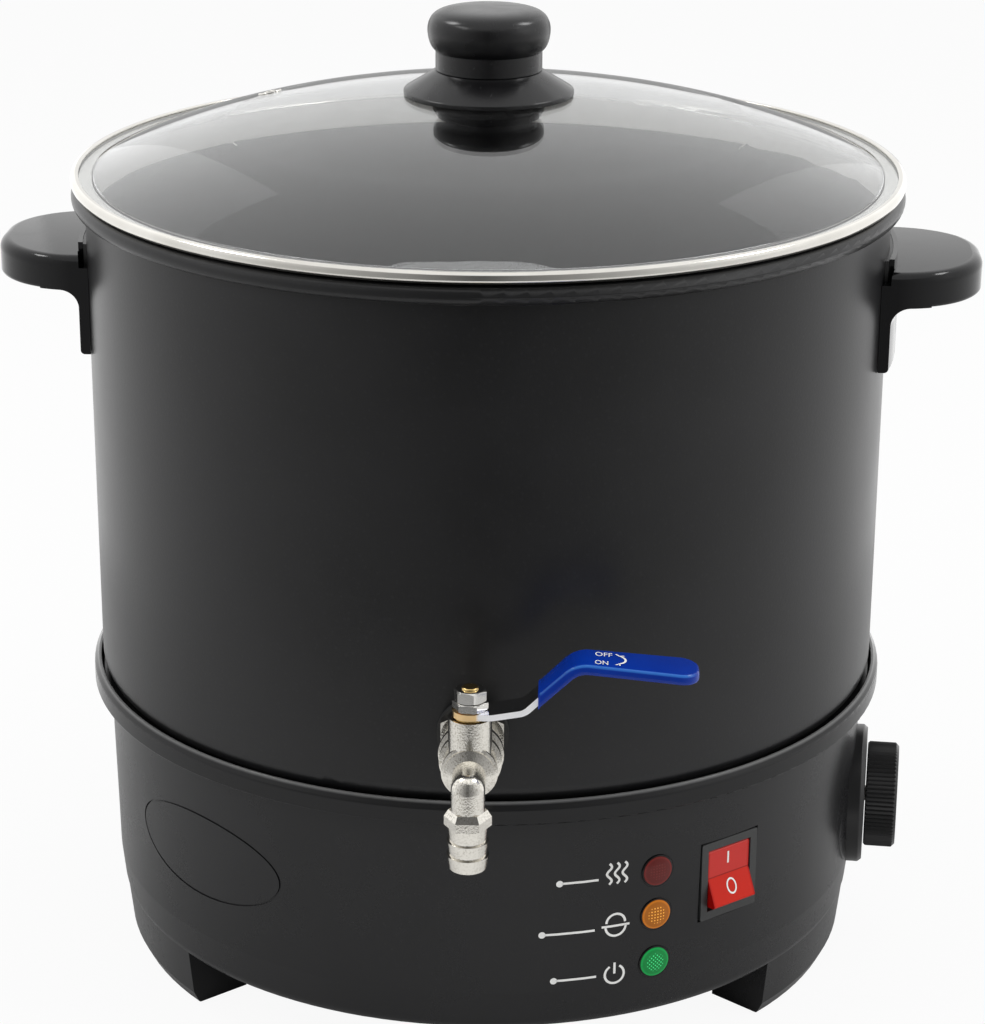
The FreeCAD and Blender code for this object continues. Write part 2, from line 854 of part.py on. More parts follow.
def thermostat_body():
    front = boss_seat - boss_wall
    body = box(thermostat_width, thermostat_tall, front - thermostat_deep, front)
    body = body.cut(disc(shaft_radius + stem_clearance, front - shaft_embed, front + 1))
    for side in (-1, 1):
        hole = disc(thermostat_screw_radius, front - thermostat_screw_length, front + 1)
        body = body.cut(moved(hole, x=side * thermostat_screw_pitch / 2))
    return placed(body, station(thermostat_azimuth, thermostat_height))


def thermostat_screws():
    screw = pan_screw(thermostat_screw_radius, thermostat_screw_length, thermostat_head_radius,
                      thermostat_head_height)
    screw.rotate(Vector(0, 0, 0), Vector(1, 0, 0), 180)
    dial = station(thermostat_azimuth, thermostat_height, boss_seat)
    return [placed(moved(screw, x=side * thermostat_screw_pitch / 2), dial) for side in (-1, 1)]


def thermostat_bezel():
    outer = bezel_radius
    top = boss_seat + bezel_thickness
    plate = turned([(0, boss_seat), (outer, boss_seat), (outer, top - bezel_shoulder, 0.8),
                    (outer - bezel_rim, top, 0.6), (0, top)])
    pocket = box(thermostat_screw_pitch + bezel_pocket_height, bezel_pocket_height, boss_seat - 1,
                 boss_seat + bezel_pocket_depth)
    plate = plate.cut(disc(shaft_radius + shaft_clearance, boss_seat - 1, top + 1)).cut(pocket)
    return placed(plate, station(thermostat_azimuth, thermostat_height))


def shaft_flat_cut(bottom):
    """What the flat takes off the shaft's end."""
    width = 4 * shaft_radius
    corner = Vector(-width / 2, shaft_radius - shaft_flat, bottom)
    return Part.makeBox(width, width, 2 * knob_thickness, corner)


def thermostat_shaft():
    base = boss_seat - boss_wall - shaft_embed
    flat_start = boss_seat + bezel_thickness + knob_gap
    rod = disc(shaft_radius, base, flat_start + knob_thickness * knob_bore_share)
    flat = shaft_flat_cut(flat_start)
    return placed(rod.cut(flat), station(thermostat_azimuth, thermostat_height))


def thermostat_knob():
    bottom = boss_seat + bezel_thickness + knob_gap
    top = bottom + knob_thickness
    teeth = []
    for i in range(2 * knob_rib_count):
        radius = knob_radius if i % 2 else knob_radius - knob_rib_depth
        turn = math.pi * i / knob_rib_count
        teeth.append((radius * math.cos(turn), radius * math.sin(turn)))
    body = prism(teeth, bottom, top)
    low, high = knob_base_chamfer, knob_chamfer
    body = body.common(turned([(0, bottom), (knob_radius - low, bottom), (knob_radius, bottom + low),
                               (knob_radius, top - high), (knob_radius - high, top), (0, top)]))
    bore = disc(shaft_radius, bottom - 1, bottom + knob_thickness * knob_bore_share)
    bore = bore.cut(shaft_flat_cut(bottom))
    return placed(body.cut(bore), station(thermostat_azimuth, thermostat_height))


# ---- rocker switch

def switch_place():
    return station(switch_azimuth, switch_height, switch_land)


def switch_body():
    half_w, half_h = switch_bezel_width / 2, switch_bezel_height / 2
    r = switch_bezel_corner
    frame = prism([(-half_w, -half_h, r), (half_w, -half_h, r), (half_w, half_h, r), (-half_w, half_h, r)],
                  0, switch_bezel_thickness)
    body = box(switch_body_width, switch_body_height, -switch_body_depth, 0)
    throat = box(rocker_width + 2 * rocker_gap, 2 * (rocker_half_height + rocker_gap + throat_relief),
                 -switch_body_depth + switch_body_floor, switch_bezel_thickness + 1)
    pins = []
    for side in (-1, 1):
        root = Vector(side * (rocker_width / 2 + rocker_gap + rocker_pin_root), 0, pivot_z())
        pins.append(Part.makeCylinder(rocker_pin_radius, rocker_pin_length, root, Vector(-side, 0, 0)))
    return placed(joined([frame, body]).cut(throat).fuse(pins).removeSplitter(), switch_place())


def pivot_z():
    return switch_bezel_thickness - rocker_sink - rocker_pivot_depth


def switch_rocker():
    half = rocker_half_height
    crest = half * math.tan(math.radians(rocker_throw / 2))
    root = half - rocker_root_taper
    face_z = switch_bezel_thickness - rocker_sink
    side = [(0, face_z), (half, face_z + crest, rocker_edge), (root, face_z - rocker_root_depth),
            (-root, face_z - rocker_root_depth), (-half, face_z + crest, rocker_edge)]
    solid = Part.Face(outline(side, upright=True)).extrude(Vector(0, rocker_width, 0))
    solid.translate(Vector(0, -rocker_width / 2, 0))
    solid.rotate(Vector(0, 0, 0), UP, 90)
    for end in (-1, 1):
        mouth = Vector(end * rocker_width / 2, 0, pivot_z())
        solid = solid.cut(Part.makeCylinder(rocker_pin_radius + seat_clearance, rocker_socket_depth,
                                            mouth, Vector(-end, 0, 0)))
    solid.rotate(Vector(0, 0, pivot_z()), Vector(1, 0, 0), -rocker_throw / 2)
    return placed(solid, switch_place())


def switch_blades():
    blades = []
    for x in (-blade_width * 0.75, blade_width * 0.75):
        for y in (-blade_row, blade_row):
            blade = box(blade_width, blade_thickness, -switch_body_depth - blade_length, -switch_body_depth)
            blades.append(placed(moved(blade, x=x, y=y), switch_place()))
    return blades


# ---- indicator lamps

def wall_radius(height):
    """Outer radius of the housing wall at a height above the waist."""
    share = (height - waist_height) / (base_height - waist_height)
    return waist_radius + share * (base_top_radius - waist_radius)


def lamp_place(height):
    return station(lamp_azimuth, height, wall_radius(height))


def lamp_lens(height):
    crown = lens_proud + lens_crown
    lens = turned([(0, -lens_length), (lens_radius, -lens_length), (lens_radius, lens_proud, 0.5),
                   (0, lens_proud)])
    ball = (lens_radius ** 2 + lens_crown ** 2) / (2 * lens_crown)
    cap = Part.makeSphere(ball, Vector(0, 0, crown - ball))
    cap = cap.common(disc(lens_radius - lens_rim, lens_proud - 1, 2 * crown))
    return placed(lens.fuse(cap).removeSplitter(), lamp_place(height))


def lamp_bodies():
    bodies = []
    for height in lamp_heights.values():
        outer = lens_radius + lamp_sleeve
        body = disc(outer, -lamp_body_length, -lamp_rim_setback)
        body = body.cut(disc(lens_radius + stem_clearance, -lens_length, 1))
        leg = box(tab_thickness, lamp_leg_width, -lamp_body_length - lamp_leg_length, -lamp_body_length)
        legs = [moved(leg, x=side * lens_radius / 2) for side in (-1, 1)]
        bodies.append(placed(joined([body] + legs), lamp_place(height)))
    return bodies


def lamp_nuts():
    nuts = []
    for height in lamp_heights.values():
        top = -base_wall - lamp_nut_gap
        nut = ring(lamp_nut_radius, lens_radius + lamp_sleeve + sliding_gap, top - lamp_nut_thickness, top)
        nuts.append(placed(nut, lamp_place(height)))
    return nuts


# ---- mains inlet

def gland_seat():
    """Flat spot on the wall that the gland's flange seats on."""
    return wall_radius(gland_height) - gland_spot_depth


def cord_gland():
    seat = gland_seat()
    start = seat - base_wall - gland_inner_length
    face = seat + gland_flange_thickness
    nose_radius = gland_thread_radius - gland_spot_depth
    body = turned([(gland_bore_radius, start), (gland_thread_radius, start, 0.5),
                   (gland_thread_radius, seat), (gland_flange_radius, seat),
                   (gland_flange_radius, face, 0.8), (nose_radius, face),
                   (nose_radius - gland_nose_taper, face + gland_nose_length, 1.0),
                   (gland_bore_radius, face + gland_nose_length)])
    return placed(body, station(gland_azimuth, gland_height))


def gland_nut():
    top = gland_seat() - base_wall
    nut = hexagon(gland_nut_flats, top - gland_nut_height, top, 0.8)
    nut = nut.cut(disc(gland_thread_radius, 0, top + 1))
    return placed(nut, station(gland_azimuth, gland_height))


def terminal_block():
    width, depth, tall = terminal_size
    floor = arch_height + base_wall
    centre_y = cover_hole_radius + depth / 2 + terminal_gap
    block = moved(box(width, depth, floor, floor + tall), y=centre_y)
    holes = []
    for i in (-1, 0, 1):
        for row in (-1, 1):
            well = disc(terminal_screw_radius, floor + tall - terminal_well_depth, floor + tall + 1)
            holes.append(moved(well, x=i * width / 3, y=centre_y + row * depth / 4))
    return block.cut(Part.makeCompound(holes))


# ---- side handles, modelled on the +X side and turned round for the other

def handle_plan(bottom, top):
    """D-shaped outline of the handle seen from above, reaching into the wall."""
    end = pot_radius + handle_reach
    start = pot_inner_radius * 0.85
    half = handle_half_width
    return prism([(start, -half), (end, -half, handle_end_radius),
                  (end, half, handle_end_radius), (start, half)], bottom, top)


def handle_plate():
    """Grip plate with a slightly crowned top and rounded rims, still running into the wall."""
    crown = (handle_half_width ** 2 + handle_crown ** 2) / (2 * handle_crown)
    barrel = Part.makeCylinder(crown, far, Vector(0, 0, handle_top_z - crown), Vector(1, 0, 0))
    plate = handle_plan(handle_under_z, handle_top_z).common(barrel)
    top, bottom = [], []
    for edge in plate.Edges:
        reach = edge.BoundBox
        if reach.XMax < pot_inner_radius or reach.ZLength > handle_thickness / 2:
            continue
        if reach.ZMax < handle_under_z + 0.01:
            bottom.append(edge)
        else:
            top.append(edge)
    plate = plate.makeFillet(handle_lower_edge, bottom)
    rim = [edge for edge in plate.Edges
           if any(edge.CenterOfMass.distanceToPoint(old.CenterOfMass) < 0.1 for old in top)]
    return plate.makeFillet(handle_edge, rim)


def handle():
    inner = pot_radius + handle_gap
    leg_outer = inner + handle_leg
    inside = handle_under_z + handle_edge
    cove_end = leg_outer + 2 * handle_cove
    span = 2 * math.degrees(math.asin(handle_half_width / pot_inner_radius)) + 8
    leg = turned([(inner, handle_leg_bottom), (leg_outer, handle_leg_bottom, 1.5),
                  (leg_outer, handle_under_z, handle_cove), (cove_end, handle_under_z),
                  (cove_end, inside), (inner, inside)], -span / 2, span)
    leg = leg.common(handle_plan(handle_leg_bottom - 1, handle_top_z))
    plate = handle_plate().cut(disc(inner, 0, far))
    lip = ring(inner + handle_lip_thickness, inner, handle_top_z - 2 * handle_crown,
               handle_top_z + handle_lip_height)
    span_box = Part.makeBox(far, 2 * handle_lip_half_width, far, Vector(0, -handle_lip_half_width, 0))
    lip = lip.common(span_box)
    notch = ring(inner + handle_notch_width, 0, handle_top_z - handle_notch_depth, far).cut(span_box)
    solid = joined([plate.cut(notch), leg, lip])
    seat = bracket_outline(bracket_thickness + handle_gap, bracket_seat_gap)
    x = pot_radius + handle_screw_inset
    screw = moved(disc(handle_screw_radius + screw_gap, 0, handle_top_z - handle_hole_cover), x=x)
    well = moved(disc(handle_screw_head_radius + screw_gap, 0, handle_screw_seat()), x=x)
    return solid.cut(Part.makeCompound([seat, bracket_tongue(tongue_gap), screw])).cut(well)


def bracket_outline(thickness, grow):
    """Curved back plate on the pot's wall."""
    bottom = handle_top_z - bracket_length - grow
    plate = ring(pot_radius + thickness, pot_radius, bottom, handle_top_z + bracket_rise + grow)
    half = bracket_half_width + grow
    return plate.common(Part.makeBox(far, 2 * half, far, Vector(0, -half, 0)))


def bracket_tongue(grow):
    mid = handle_top_z - handle_thickness / 2
    half = bracket_tongue_half_width + grow
    end = pot_radius + bracket_tongue_length + grow
    start = pot_radius + bracket_thickness / 2
    corner = bracket_tongue_corner
    return prism([(start, -half), (end, -half, corner), (end, half, corner), (start, half)],
                 mid - bracket_thickness / 2 - grow, mid + bracket_thickness / 2 + grow)


def handle_bracket():
    plate = bracket_outline(bracket_thickness, 0)
    hole = moved(disc(handle_screw_radius, 0, far), x=pot_radius + handle_screw_inset)
    wall = disc(pot_radius + sliding_gap, 0, far)
    return joined([plate, bracket_tongue(0)]).cut(wall).cut(hole)


def handle_screw_seat():
    return handle_under_z + handle_screw_head_height + handle_screw_sink


def handle_screw():
    screw = pan_screw(handle_screw_radius, handle_screw_length, handle_screw_head_radius,
                      handle_screw_head_height)
    return moved(screw, x=pot_radius + handle_screw_inset, z=handle_screw_seat())


# ---- drain tap: built with local Z outwards from the pot's axis, at the tap's height

def tap_place():
    return station(0, tap_height)


def hex_start():
    return pot_radius + tap_gasket_thickness


def body_start():
    return hex_start() + tap_hex_length


def seat_face():
    """Distance of the outer faces of the ball's seats from the stem's axis."""
    return ball_radius * seat_inner_share + seat_thickness


def tap_gasket():
    pad = ring(tap_gasket_radius, tap_shank_radius + gasket_hole_gap, pot_inner_radius, hex_start())
    return placed(pad, tap_place()).cut(disc(pot_radius, 0, far))


def tap_inner_gasket():
    inner = pot_inner_radius - tap_gasket_thickness
    pad = ring(tap_gasket_radius, tap_shank_radius + gasket_hole_gap, inner, pot_radius)
    return placed(pad, tap_place()).common(disc(pot_inner_radius, 0, far))


def tap_washer():
    top = pot_inner_radius - tap_gasket_thickness
    washer = ring(tap_washer_radius, tap_shank_radius + gasket_hole_gap, top - tap_washer_thickness, top)
    return placed(washer, tap_place())


def tap_lock_nut():
    top = pot_inner_radius - tap_gasket_thickness - tap_washer_thickness
    nut = hexagon(lock_nut_flats, top - lock_nut_length, top, 1.0)
    return placed(nut.cut(disc(tap_shank_radius, 0, top + 1)), tap_place())


def tap_tailpiece():
    back = tap_stem_distance - seat_face()
    shank = disc(tap_shank_radius, pot_inner_radius - tap_shank_inside, hex_start())
    flange = spun(hexagon(tap_hex_flats, hex_start(), body_start(), tap_hex_chamfer), 30)
    plug = disc(tap_chamber_radius, body_start(), back)
    bore = disc(tap_bore_radius, 0, back + 1)
    return placed(joined([shank, flange, plug]).cut(bore), tap_place())


def tap_shell():
    """Turned outside of the tap's body: ribs on a tapering core, a brow and a blunt nose."""
    start = body_start()
    nose = start + tap_nose_start
    brow = start + tap_brow_start

    def core(distance):
        return tap_core_radius - tap_core_taper * (distance - start) / tap_brow_start

    section = [(0, start), (core(start), start)]
    for offset, radius in tap_ribs:
        low = start + offset
        high = low + tap_rib_width
        section += [(core(low - tap_rib_slope), low - tap_rib_slope), (radius, low), (radius, high),
                    (core(high + tap_rib_slope), high + tap_rib_slope)]
    section += [(core(brow), brow), (tap_brow_radius, brow + tap_rib_slope),
                (tap_brow_radius, brow + tap_brow_width),
                (tap_nose_radius, brow + tap_brow_width + tap_rib_slope), (tap_nose_radius, nose),
                (spout_pipe_radius, nose + tap_cone_length),
                (0, nose + tap_cone_length)]
    return placed(turned(section), tap_place())


def spout(radius, start):
    """Round passage or pipe along the tap's axis, round the corner and down to the barb."""
    along = placed(disc(radius, start, spout_distance), tap_place())
    corner = Part.makeSphere(radius, Vector(0, -spout_distance, tap_height))
    down = moved(disc(radius, spout_hex_top, tap_height), y=-spout_distance)
    return joined([along, corner, down])


def tap_body():
    boss = moved(disc(tap_boss_radius, tap_height, tap_boss_top), y=-tap_stem_distance)
    solid = joined([tap_shell(), boss, spout(spout_pipe_radius, tap_stem_distance)])
    chamber = placed(disc(tap_chamber_radius, 0, tap_stem_distance + seat_face()), tap_place())
    thread = moved(disc(spout_thread_radius, spout_hex_top - 1, spout_hex_top + spout_thread_length),
                   y=-spout_distance)
    collar_top = stem_collar_z() + stem_collar_height + seat_clearance
    stem_bore = joined([disc(stem_radius + stem_clearance, tap_height, far),
                        disc(stem_collar_radius + seat_clearance, tap_height, collar_top),
                        disc(packing_radius, gland_floor(), far)])
    solid = solid.cut(chamber).cut(spout(spout_bore_radius, tap_stem_distance)).cut(thread)
    return solid.cut(moved(stem_bore, y=-tap_stem_distance))


def gland_floor():
    return tap_boss_top - packing_nut_thread - packing_height


def stem_collar_z():
    return tap_height + tap_chamber_radius + stem_collar_gap


def tap_seats():
    seats = []
    ball = Part.makeSphere(ball_radius + seat_clearance)
    for side in (-1, 1):
        near = seat_face() - seat_thickness
        low, high = sorted((side * near, side * seat_face()))
        seat = ring(tap_chamber_radius - sliding_gap, tap_bore_radius, low, high).cut(ball)
        seats.append(placed(moved(seat, z=tap_stem_distance), tap_place()))
    return seats


def tap_ball():
    ball = Part.makeSphere(ball_radius)
    length = 4 * ball_radius
    bore = Part.makeCylinder(tap_bore_radius, length, Vector(-length / 2, 0, 0), Vector(1, 0, 0))
    slot = moved(box(length, stem_slot_width, 0, ball_radius), z=ball_radius - stem_slot_depth)
    return moved(ball.cut(bore).cut(slot), y=-tap_stem_distance, z=tap_height)


def lever_z():
    """Underside of the lever's hub."""
    return tap_boss_top + packing_nut_proud + lever_seat_gap


def stem_top():
    nuts = lever_nut_height + jam_nut_height + lever_nut_gap
    return lever_z() + lever_thickness + nuts + stem_tip_proud


def tap_stem():
    collar = disc(stem_collar_radius, stem_collar_z(), stem_collar_z() + stem_collar_height)
    rod = turned([(0, stem_collar_z()), (stem_radius, stem_collar_z()), (stem_radius, stem_top(), 0.8),
                  (0, stem_top())])
    tang_bottom = tap_height + ball_radius - stem_slot_depth
    tang = box(stem_tang_length, stem_slot_width, tang_bottom, stem_collar_z() + 0.5)
    shoulder = disc(stem_radius + stem_shoulder, lever_z() - lever_seat_gap / 2, lever_z())
    return moved(joined([rod, collar, tang, shoulder]), y=-tap_stem_distance)


def stem_packing():
    packing = ring(packing_radius - sliding_gap, stem_radius + stem_clearance,
                   gland_floor(), gland_floor() + packing_height)
    return moved(packing, y=-tap_stem_distance)


def packing_nut():
    top = tap_boss_top + packing_nut_proud
    nut = ring(packing_radius - sliding_gap, stem_radius + 2 * stem_clearance,
               tap_boss_top - packing_nut_thread, top)
    slot = box(4 * packing_radius, packing_slot_width, top - packing_slot_depth, top + 1)
    return moved(nut.cut(slot), y=-tap_stem_distance)


def hose_barb():
    """Barbed tail screwed into the spout, with a hexagon that narrows towards the pipe."""
    prism_top = spout_hex_top - spout_hex_point
    collar = hexagon(spout_hex_flats, hex_bottom, prism_top)
    point = Part.makeLoft([hexagon_wire(spout_hex_flats, prism_top),
                           hexagon_wire(spout_hex_neck_flats, spout_hex_top)], True)
    thread_top = spout_hex_top + spout_thread_length - seat_clearance
    thread = disc(spout_thread_radius - sliding_gap, prism_top, thread_top)
    section = [(0, barb_bottom)]
    for i in range(barb_ridge_count):
        low = barb_bottom + barb_ridge_height * i
        crest = low + barb_ridge_height
        radius = barb_neck_radius if i == barb_ridge_count - 1 else barb_crest_radius
        section += [(barb_root_radius, low, 0.6) if i == 0 else (barb_root_radius, low),
                    (radius, crest - barb_ridge_edge)]
    section += [(barb_neck_radius, hex_bottom + 0.5), (0, hex_bottom + 0.5)]
    body = joined([turned(section), collar, point, thread])
    return moved(body.cut(disc(spout_bore_radius, 0, far)), y=-spout_distance)


# ---- tap lever: the closed position, pointing along +X

def lever_path():
    """Middle line of the strip seen from the side, as x, z and bend radius."""
    z = lever_z() + lever_thickness / 2
    knee_x, knee_rise, knee_bend = lever_knee
    crest_x, crest_rise, crest_bend = lever_crest
    fall = (lever_end_rise - crest_rise) / (lever_length - crest_x)
    end_x = lever_length + grip_tip_radius
    return [(-2 * lever_hub_radius, z, 0), (lever_flat, z, lever_flat_bend),
            (knee_x, z + knee_rise, knee_bend), (crest_x, z + crest_rise, crest_bend),
            (end_x, z + crest_rise + fall * (end_x - crest_x), 0)]


def lever_band(half):
    """Bent strip of this half thickness, wide enough to be cut to any outline."""
    path = lever_path()
    above, below = [], []
    for i, (x, z, bend) in enumerate(path):
        here = Vector(x, 0, z)
        before = path[max(i - 1, 0)]
        after = path[min(i + 1, len(path) - 1)]
        into = here - Vector(before[0], 0, before[1])
        out = Vector(after[0], 0, after[1]) - here
        into = (into if i > 0 else out).normalize()
        out = (out if i < len(path) - 1 else into).normalize()
        normal = Vector(-into.z - out.z, 0, into.x + out.x) * (half / (1 + into.dot(out)))
        turn = math.copysign(half, into.x * out.z - into.z * out.x)
        inner = bend - turn if bend else 0
        outer = bend + turn if bend else 0
        above.append((x + normal.x, z + normal.z, inner))
        below.append((x - normal.x, z - normal.z, outer))
    side = Part.Face(outline(below + above[::-1], upright=True))
    return moved(side.extrude(Vector(0, 4 * grip_half_width, 0)), y=-2 * grip_half_width)


def tap_lever():
    hub = disc(lever_hub_radius, 0, far)
    half = lever_half_width
    corner = half * 0.9
    arm = prism([(0, -half), (lever_length, -half, corner), (lever_length, half, corner), (0, half)], 0, far)
    strip = lever_band(lever_thickness / 2).common(hub.fuse(arm).removeSplitter())
    return moved(strip.cut(disc(stem_radius, 0, far)), y=-tap_stem_distance)


def lever_grip():
    narrow = lever_half_width + grip_skin
    crest = lever_crest[0]
    tip = grip_tip_radius
    middle, end = grip_middle_half_width, grip_half_width
    plan = [(grip_start, -narrow, 1.0), (crest, -middle, 20), (grip_length, -end, tip),
            (grip_length, end, tip), (crest, middle, 20), (grip_start, narrow, 1.0)]
    sleeve = lever_band(lever_thickness / 2 + grip_skin).common(prism(plan, 0, far))
    return moved(sleeve, y=-tap_stem_distance).cut(tap_lever())


def lever_jam_nut():
    bottom = lever_z() + lever_thickness
    nut = hexagon(jam_nut_flats, bottom, bottom + jam_nut_height, lever_nut_chamfer)
    return moved(spun(nut.cut(disc(stem_radius, 0, far)), jam_nut_turn), y=-tap_stem_distance)


def lever_nut():
    bottom = lever_z() + lever_thickness + jam_nut_height + lever_nut_gap
    nut = hexagon(lever_nut_flats, bottom, bottom + lever_nut_height, lever_nut_chamfer)
    return moved(spun(nut.cut(disc(stem_radius, 0, far)), lever_nut_turn), y=-tap_stem_distance)


# ---- lid

def lid_bottom_z():
    return pot_rim_z + lid_gap


def flange_z():
    """Underside of the glass where it lies in the band."""
    return lid_bottom_z() + lid_band_sheet + glass_seat_gap


def glass_arcs(inset):
    """Centres, radii and end points of the dome's crown and shoulder arcs."""
    crown_turn = math.asin(glass_crown_half_width / glass_crown_radius)
    centre_r = (glass_crown_radius - glass_shoulder_radius) * math.sin(crown_turn)
    edge_turn = math.asin((glass_shoulder_edge - centre_r) / glass_shoulder_radius)
    edge_z = flange_z() + glass_thickness
    centre_z = edge_z - glass_shoulder_radius * math.cos(edge_turn)
    crown_z = centre_z - (glass_crown_radius - glass_shoulder_radius) * math.cos(crown_turn)
    crown = glass_crown_radius - inset
    shoulder = glass_shoulder_radius - inset

    def on_crown(turn):
        return Vector(crown * math.sin(turn), 0, crown_z + crown * math.cos(turn))

    def on_shoulder(turn):
        return Vector(centre_r + shoulder * math.sin(turn), 0, centre_z + shoulder * math.cos(turn))

    return ([on_crown(0), on_crown(crown_turn / 2), on_crown(crown_turn)],
            [on_crown(crown_turn), on_shoulder((crown_turn + edge_turn) / 2), on_shoulder(edge_turn)])


def dome_z(radius, inset=0.0):
    """Height of the dome's crown at a distance from the axis."""
    top = glass_arcs(inset)[0][0].z
    crown = glass_crown_radius - inset
    return top - crown + math.sqrt(crown ** 2 - radius ** 2)


def dome_solid(inset):
    """Everything under the dome's outer surface, or one parallel to it, down to its edge."""
    crown, shoulder = glass_arcs(inset)
    low = flange_z() - lid_lip_depth
    start = Vector(0, 0, low)
    edges = [Part.LineSegment(start, crown[0]).toShape(), Part.Arc(*crown).toShape(),
             Part.Arc(*shoulder).toShape()]
    foot_point = Vector(shoulder[2].x, 0, low)
    edges.append(Part.LineSegment(shoulder[2], foot_point).toShape())
    edges.append(Part.LineSegment(foot_point, start).toShape())
    return Part.Face(Part.Wire(edges)).revolve(Vector(0, 0, 0), UP, 360)


def vent_place():
    """Placement on the dome with local Z along the outward normal."""
    vent_distance = glass_shoulder_edge - vent_setin
    turn = math.asin(vent_distance / glass_crown_radius)
    azimuth = math.radians(vent_azimuth)
    out = Vector(math.sin(azimuth), -math.cos(azimuth), 0)
    normal = out * math.sin(turn) + UP * math.cos(turn)
    return Placement(out * vent_distance + UP * dome_z(vent_distance), Rotation(UP, normal))


def lid_glass():
    above = disc(lid_outer_radius, flange_z(), far)
    shell = dome_solid(0).common(above).cut(dome_solid(glass_thickness))
    edge = lid_outer_radius - lid_band_sheet - glass_edge_clearance
    inner = glass_shoulder_edge - glass_thickness * glass_root_share
    top = flange_z() + glass_thickness
    rim = turned([(inner, flange_z()), (edge, flange_z(), glass_edge_rounding),
                  (edge, top, glass_edge_rounding), (inner, top)])
    whole = shell.fuse(rim).removeSplitter()
    whole = whole.cut(disc(lid_screw_radius + lid_hole_clearance, 0, far))
    drill = 3 * glass_thickness
    return whole.cut(placed(disc(vent_hole_radius, -drill, drill), vent_place()))


def lid_band():
    bottom = lid_bottom_z()
    t = lid_band_sheet
    outer = lid_outer_radius
    top = flange_z() + glass_thickness + glass_seat_gap + t
    lap = outer - lid_band_lap
    lip_outer = pot_inner_radius - lid_lip_clearance
    corner = lid_band_corner
    return turned([(lip_outer - t, bottom - lid_lip_depth), (lip_outer, bottom - lid_lip_depth),
                   (lip_outer, bottom), (outer, bottom, corner), (outer, top, corner),
                   (lap, top), (lap, top - t),
                   (outer - t, top - t, corner - t), (outer - t, bottom + t, corner - t),
                   (lip_outer - t, bottom + t)])


def vent_grommet():
    outer = vent_hole_radius + grommet_flange
    lower_outer = outer - grommet_lower_setback
    hole = grommet_hole_radius
    upper = turned([(hole, 0), (outer, 0), (outer, grommet_sheet, 0.4), (hole, grommet_sheet, 0.3)])
    under = -glass_thickness - grommet_gap
    lower = turned([(hole, under - grommet_sheet), (lower_outer, under - grommet_sheet),
                    (lower_outer, under), (hole, under)])
    barrel = ring(vent_hole_radius - stem_clearance, hole, under - grommet_gap, grommet_gap)
    return placed(joined([upper, lower, barrel]), vent_place())


def knob_seat_z():
    return dome_z(skirt_outer_radius) + knob_seat_gap


def knob_skirt():
    low = knob_seat_z()
    top = low + skirt_height
    outer = skirt_outer_radius
    skirt = turned([(0, low), (outer, low, 0.3), (outer, low + skirt_edge_height, 0.7),
                    (knob_neck_radius, top), (0, top)])
    shank = disc(lid_screw_radius + gasket_hole_gap, 0, far)
    return skirt.cut(dome_solid(-knob_seat_gap)).cut(shank)


def lid_knob():
    low = knob_seat_z() + skirt_height
    top = low + lid_knob_height
    neck = low + knob_neck_height
    widest = low + lid_knob_widest
    body = turned([(0, low), (knob_neck_radius, low, 0.5), (knob_neck_radius, neck, 1.5),
                   (lid_knob_radius, neck + 2.0, 4.0), (lid_knob_radius, widest, 0),
                   (lid_knob_radius, top - 1.0, 7.5), (0, top)])
    hollow = ring(knob_hollow_radius, knob_core_radius, low - 1, low + knob_hollow_height)
    insert = disc(lid_screw_radius, low - 1, low + lid_screw_length * 0.5)
    return body.cut(hollow).cut(insert)


def under_washer_z():
    return dome_z(0, glass_thickness) - under_washer_gap - under_washer_thickness


def under_washer():
    bottom = under_washer_z()
    top = bottom + under_washer_thickness + 1
    outer = under_washer_radius
    body = turned([(0, bottom), (outer - under_washer_rim, bottom, 0.8),
                   (outer, bottom + under_washer_step, 0.8), (outer, top), (0, top)])
    body = body.common(dome_solid(glass_thickness + knob_seat_gap))
    well = disc(lid_screw_head_radius + 1, bottom - 1, bottom + lid_screw_head_height)
    return body.cut(well).cut(disc(lid_screw_radius + screw_gap, 0, far))


def knob_screw():
    head_height = lid_screw_head_height - lid_screw_well_gap
    screw = pan_screw(lid_screw_radius, lid_screw_length, lid_screw_head_radius, head_height)
    return moved(screw, z=under_washer_z() + lid_screw_head_height)


# ---- build

os.makedirs("parts", exist_ok=True)

export("base_housing", base_housing())
export("bottom_cover", bottom_cover())
export("bottom_cover_screws", *cover_screws())
export("foot_pads", *foot_pads())
export("collar_ring", collar_ring())

export("pot", pot())
export("heating_plate", heating_plate())
export("heating_element", heating_element())
export("heat_shield_pan", heat_shield_pan())
export("insulation_disc", insulation_disc())
export("pan_nuts", *stud_nuts())
export("thermal_cutout", thermal_cutout())
export("thermostat_bulb", thermostat_bulb())

export("thermostat_body", thermostat_body())
export("thermostat_screws", *thermostat_screws())
export("thermostat_bezel", thermostat_bezel())
export("thermostat_shaft", thermostat_shaft())
export("thermostat_knob", thermostat_knob())

export("switch_body", switch_body())
export("switch_rocker", switch_rocker())
export("switch_blades", *switch_blades())

for colour, lamp_height in lamp_heights.items():
    export(colour + "_lamp_lens", lamp_lens(lamp_height))
export("lamp_bodies", *lamp_bodies())
export("lamp_nuts", *lamp_nuts())

export("cord_gland", cord_gland())
export("gland_nut", gland_nut())
export("terminal_block", terminal_block())

handle_turns = {"right": handle_turn, "left": handle_turn + 180}
for side_name, side_turn in handle_turns.items():
    export(side_name + "_handle", spun(handle(), side_turn))
    export(side_name + "_handle_bracket", spun(handle_bracket(), side_turn))
export("handle_screws", *[spun(handle_screw(), side_turn) for side_turn in handle_turns.values()])

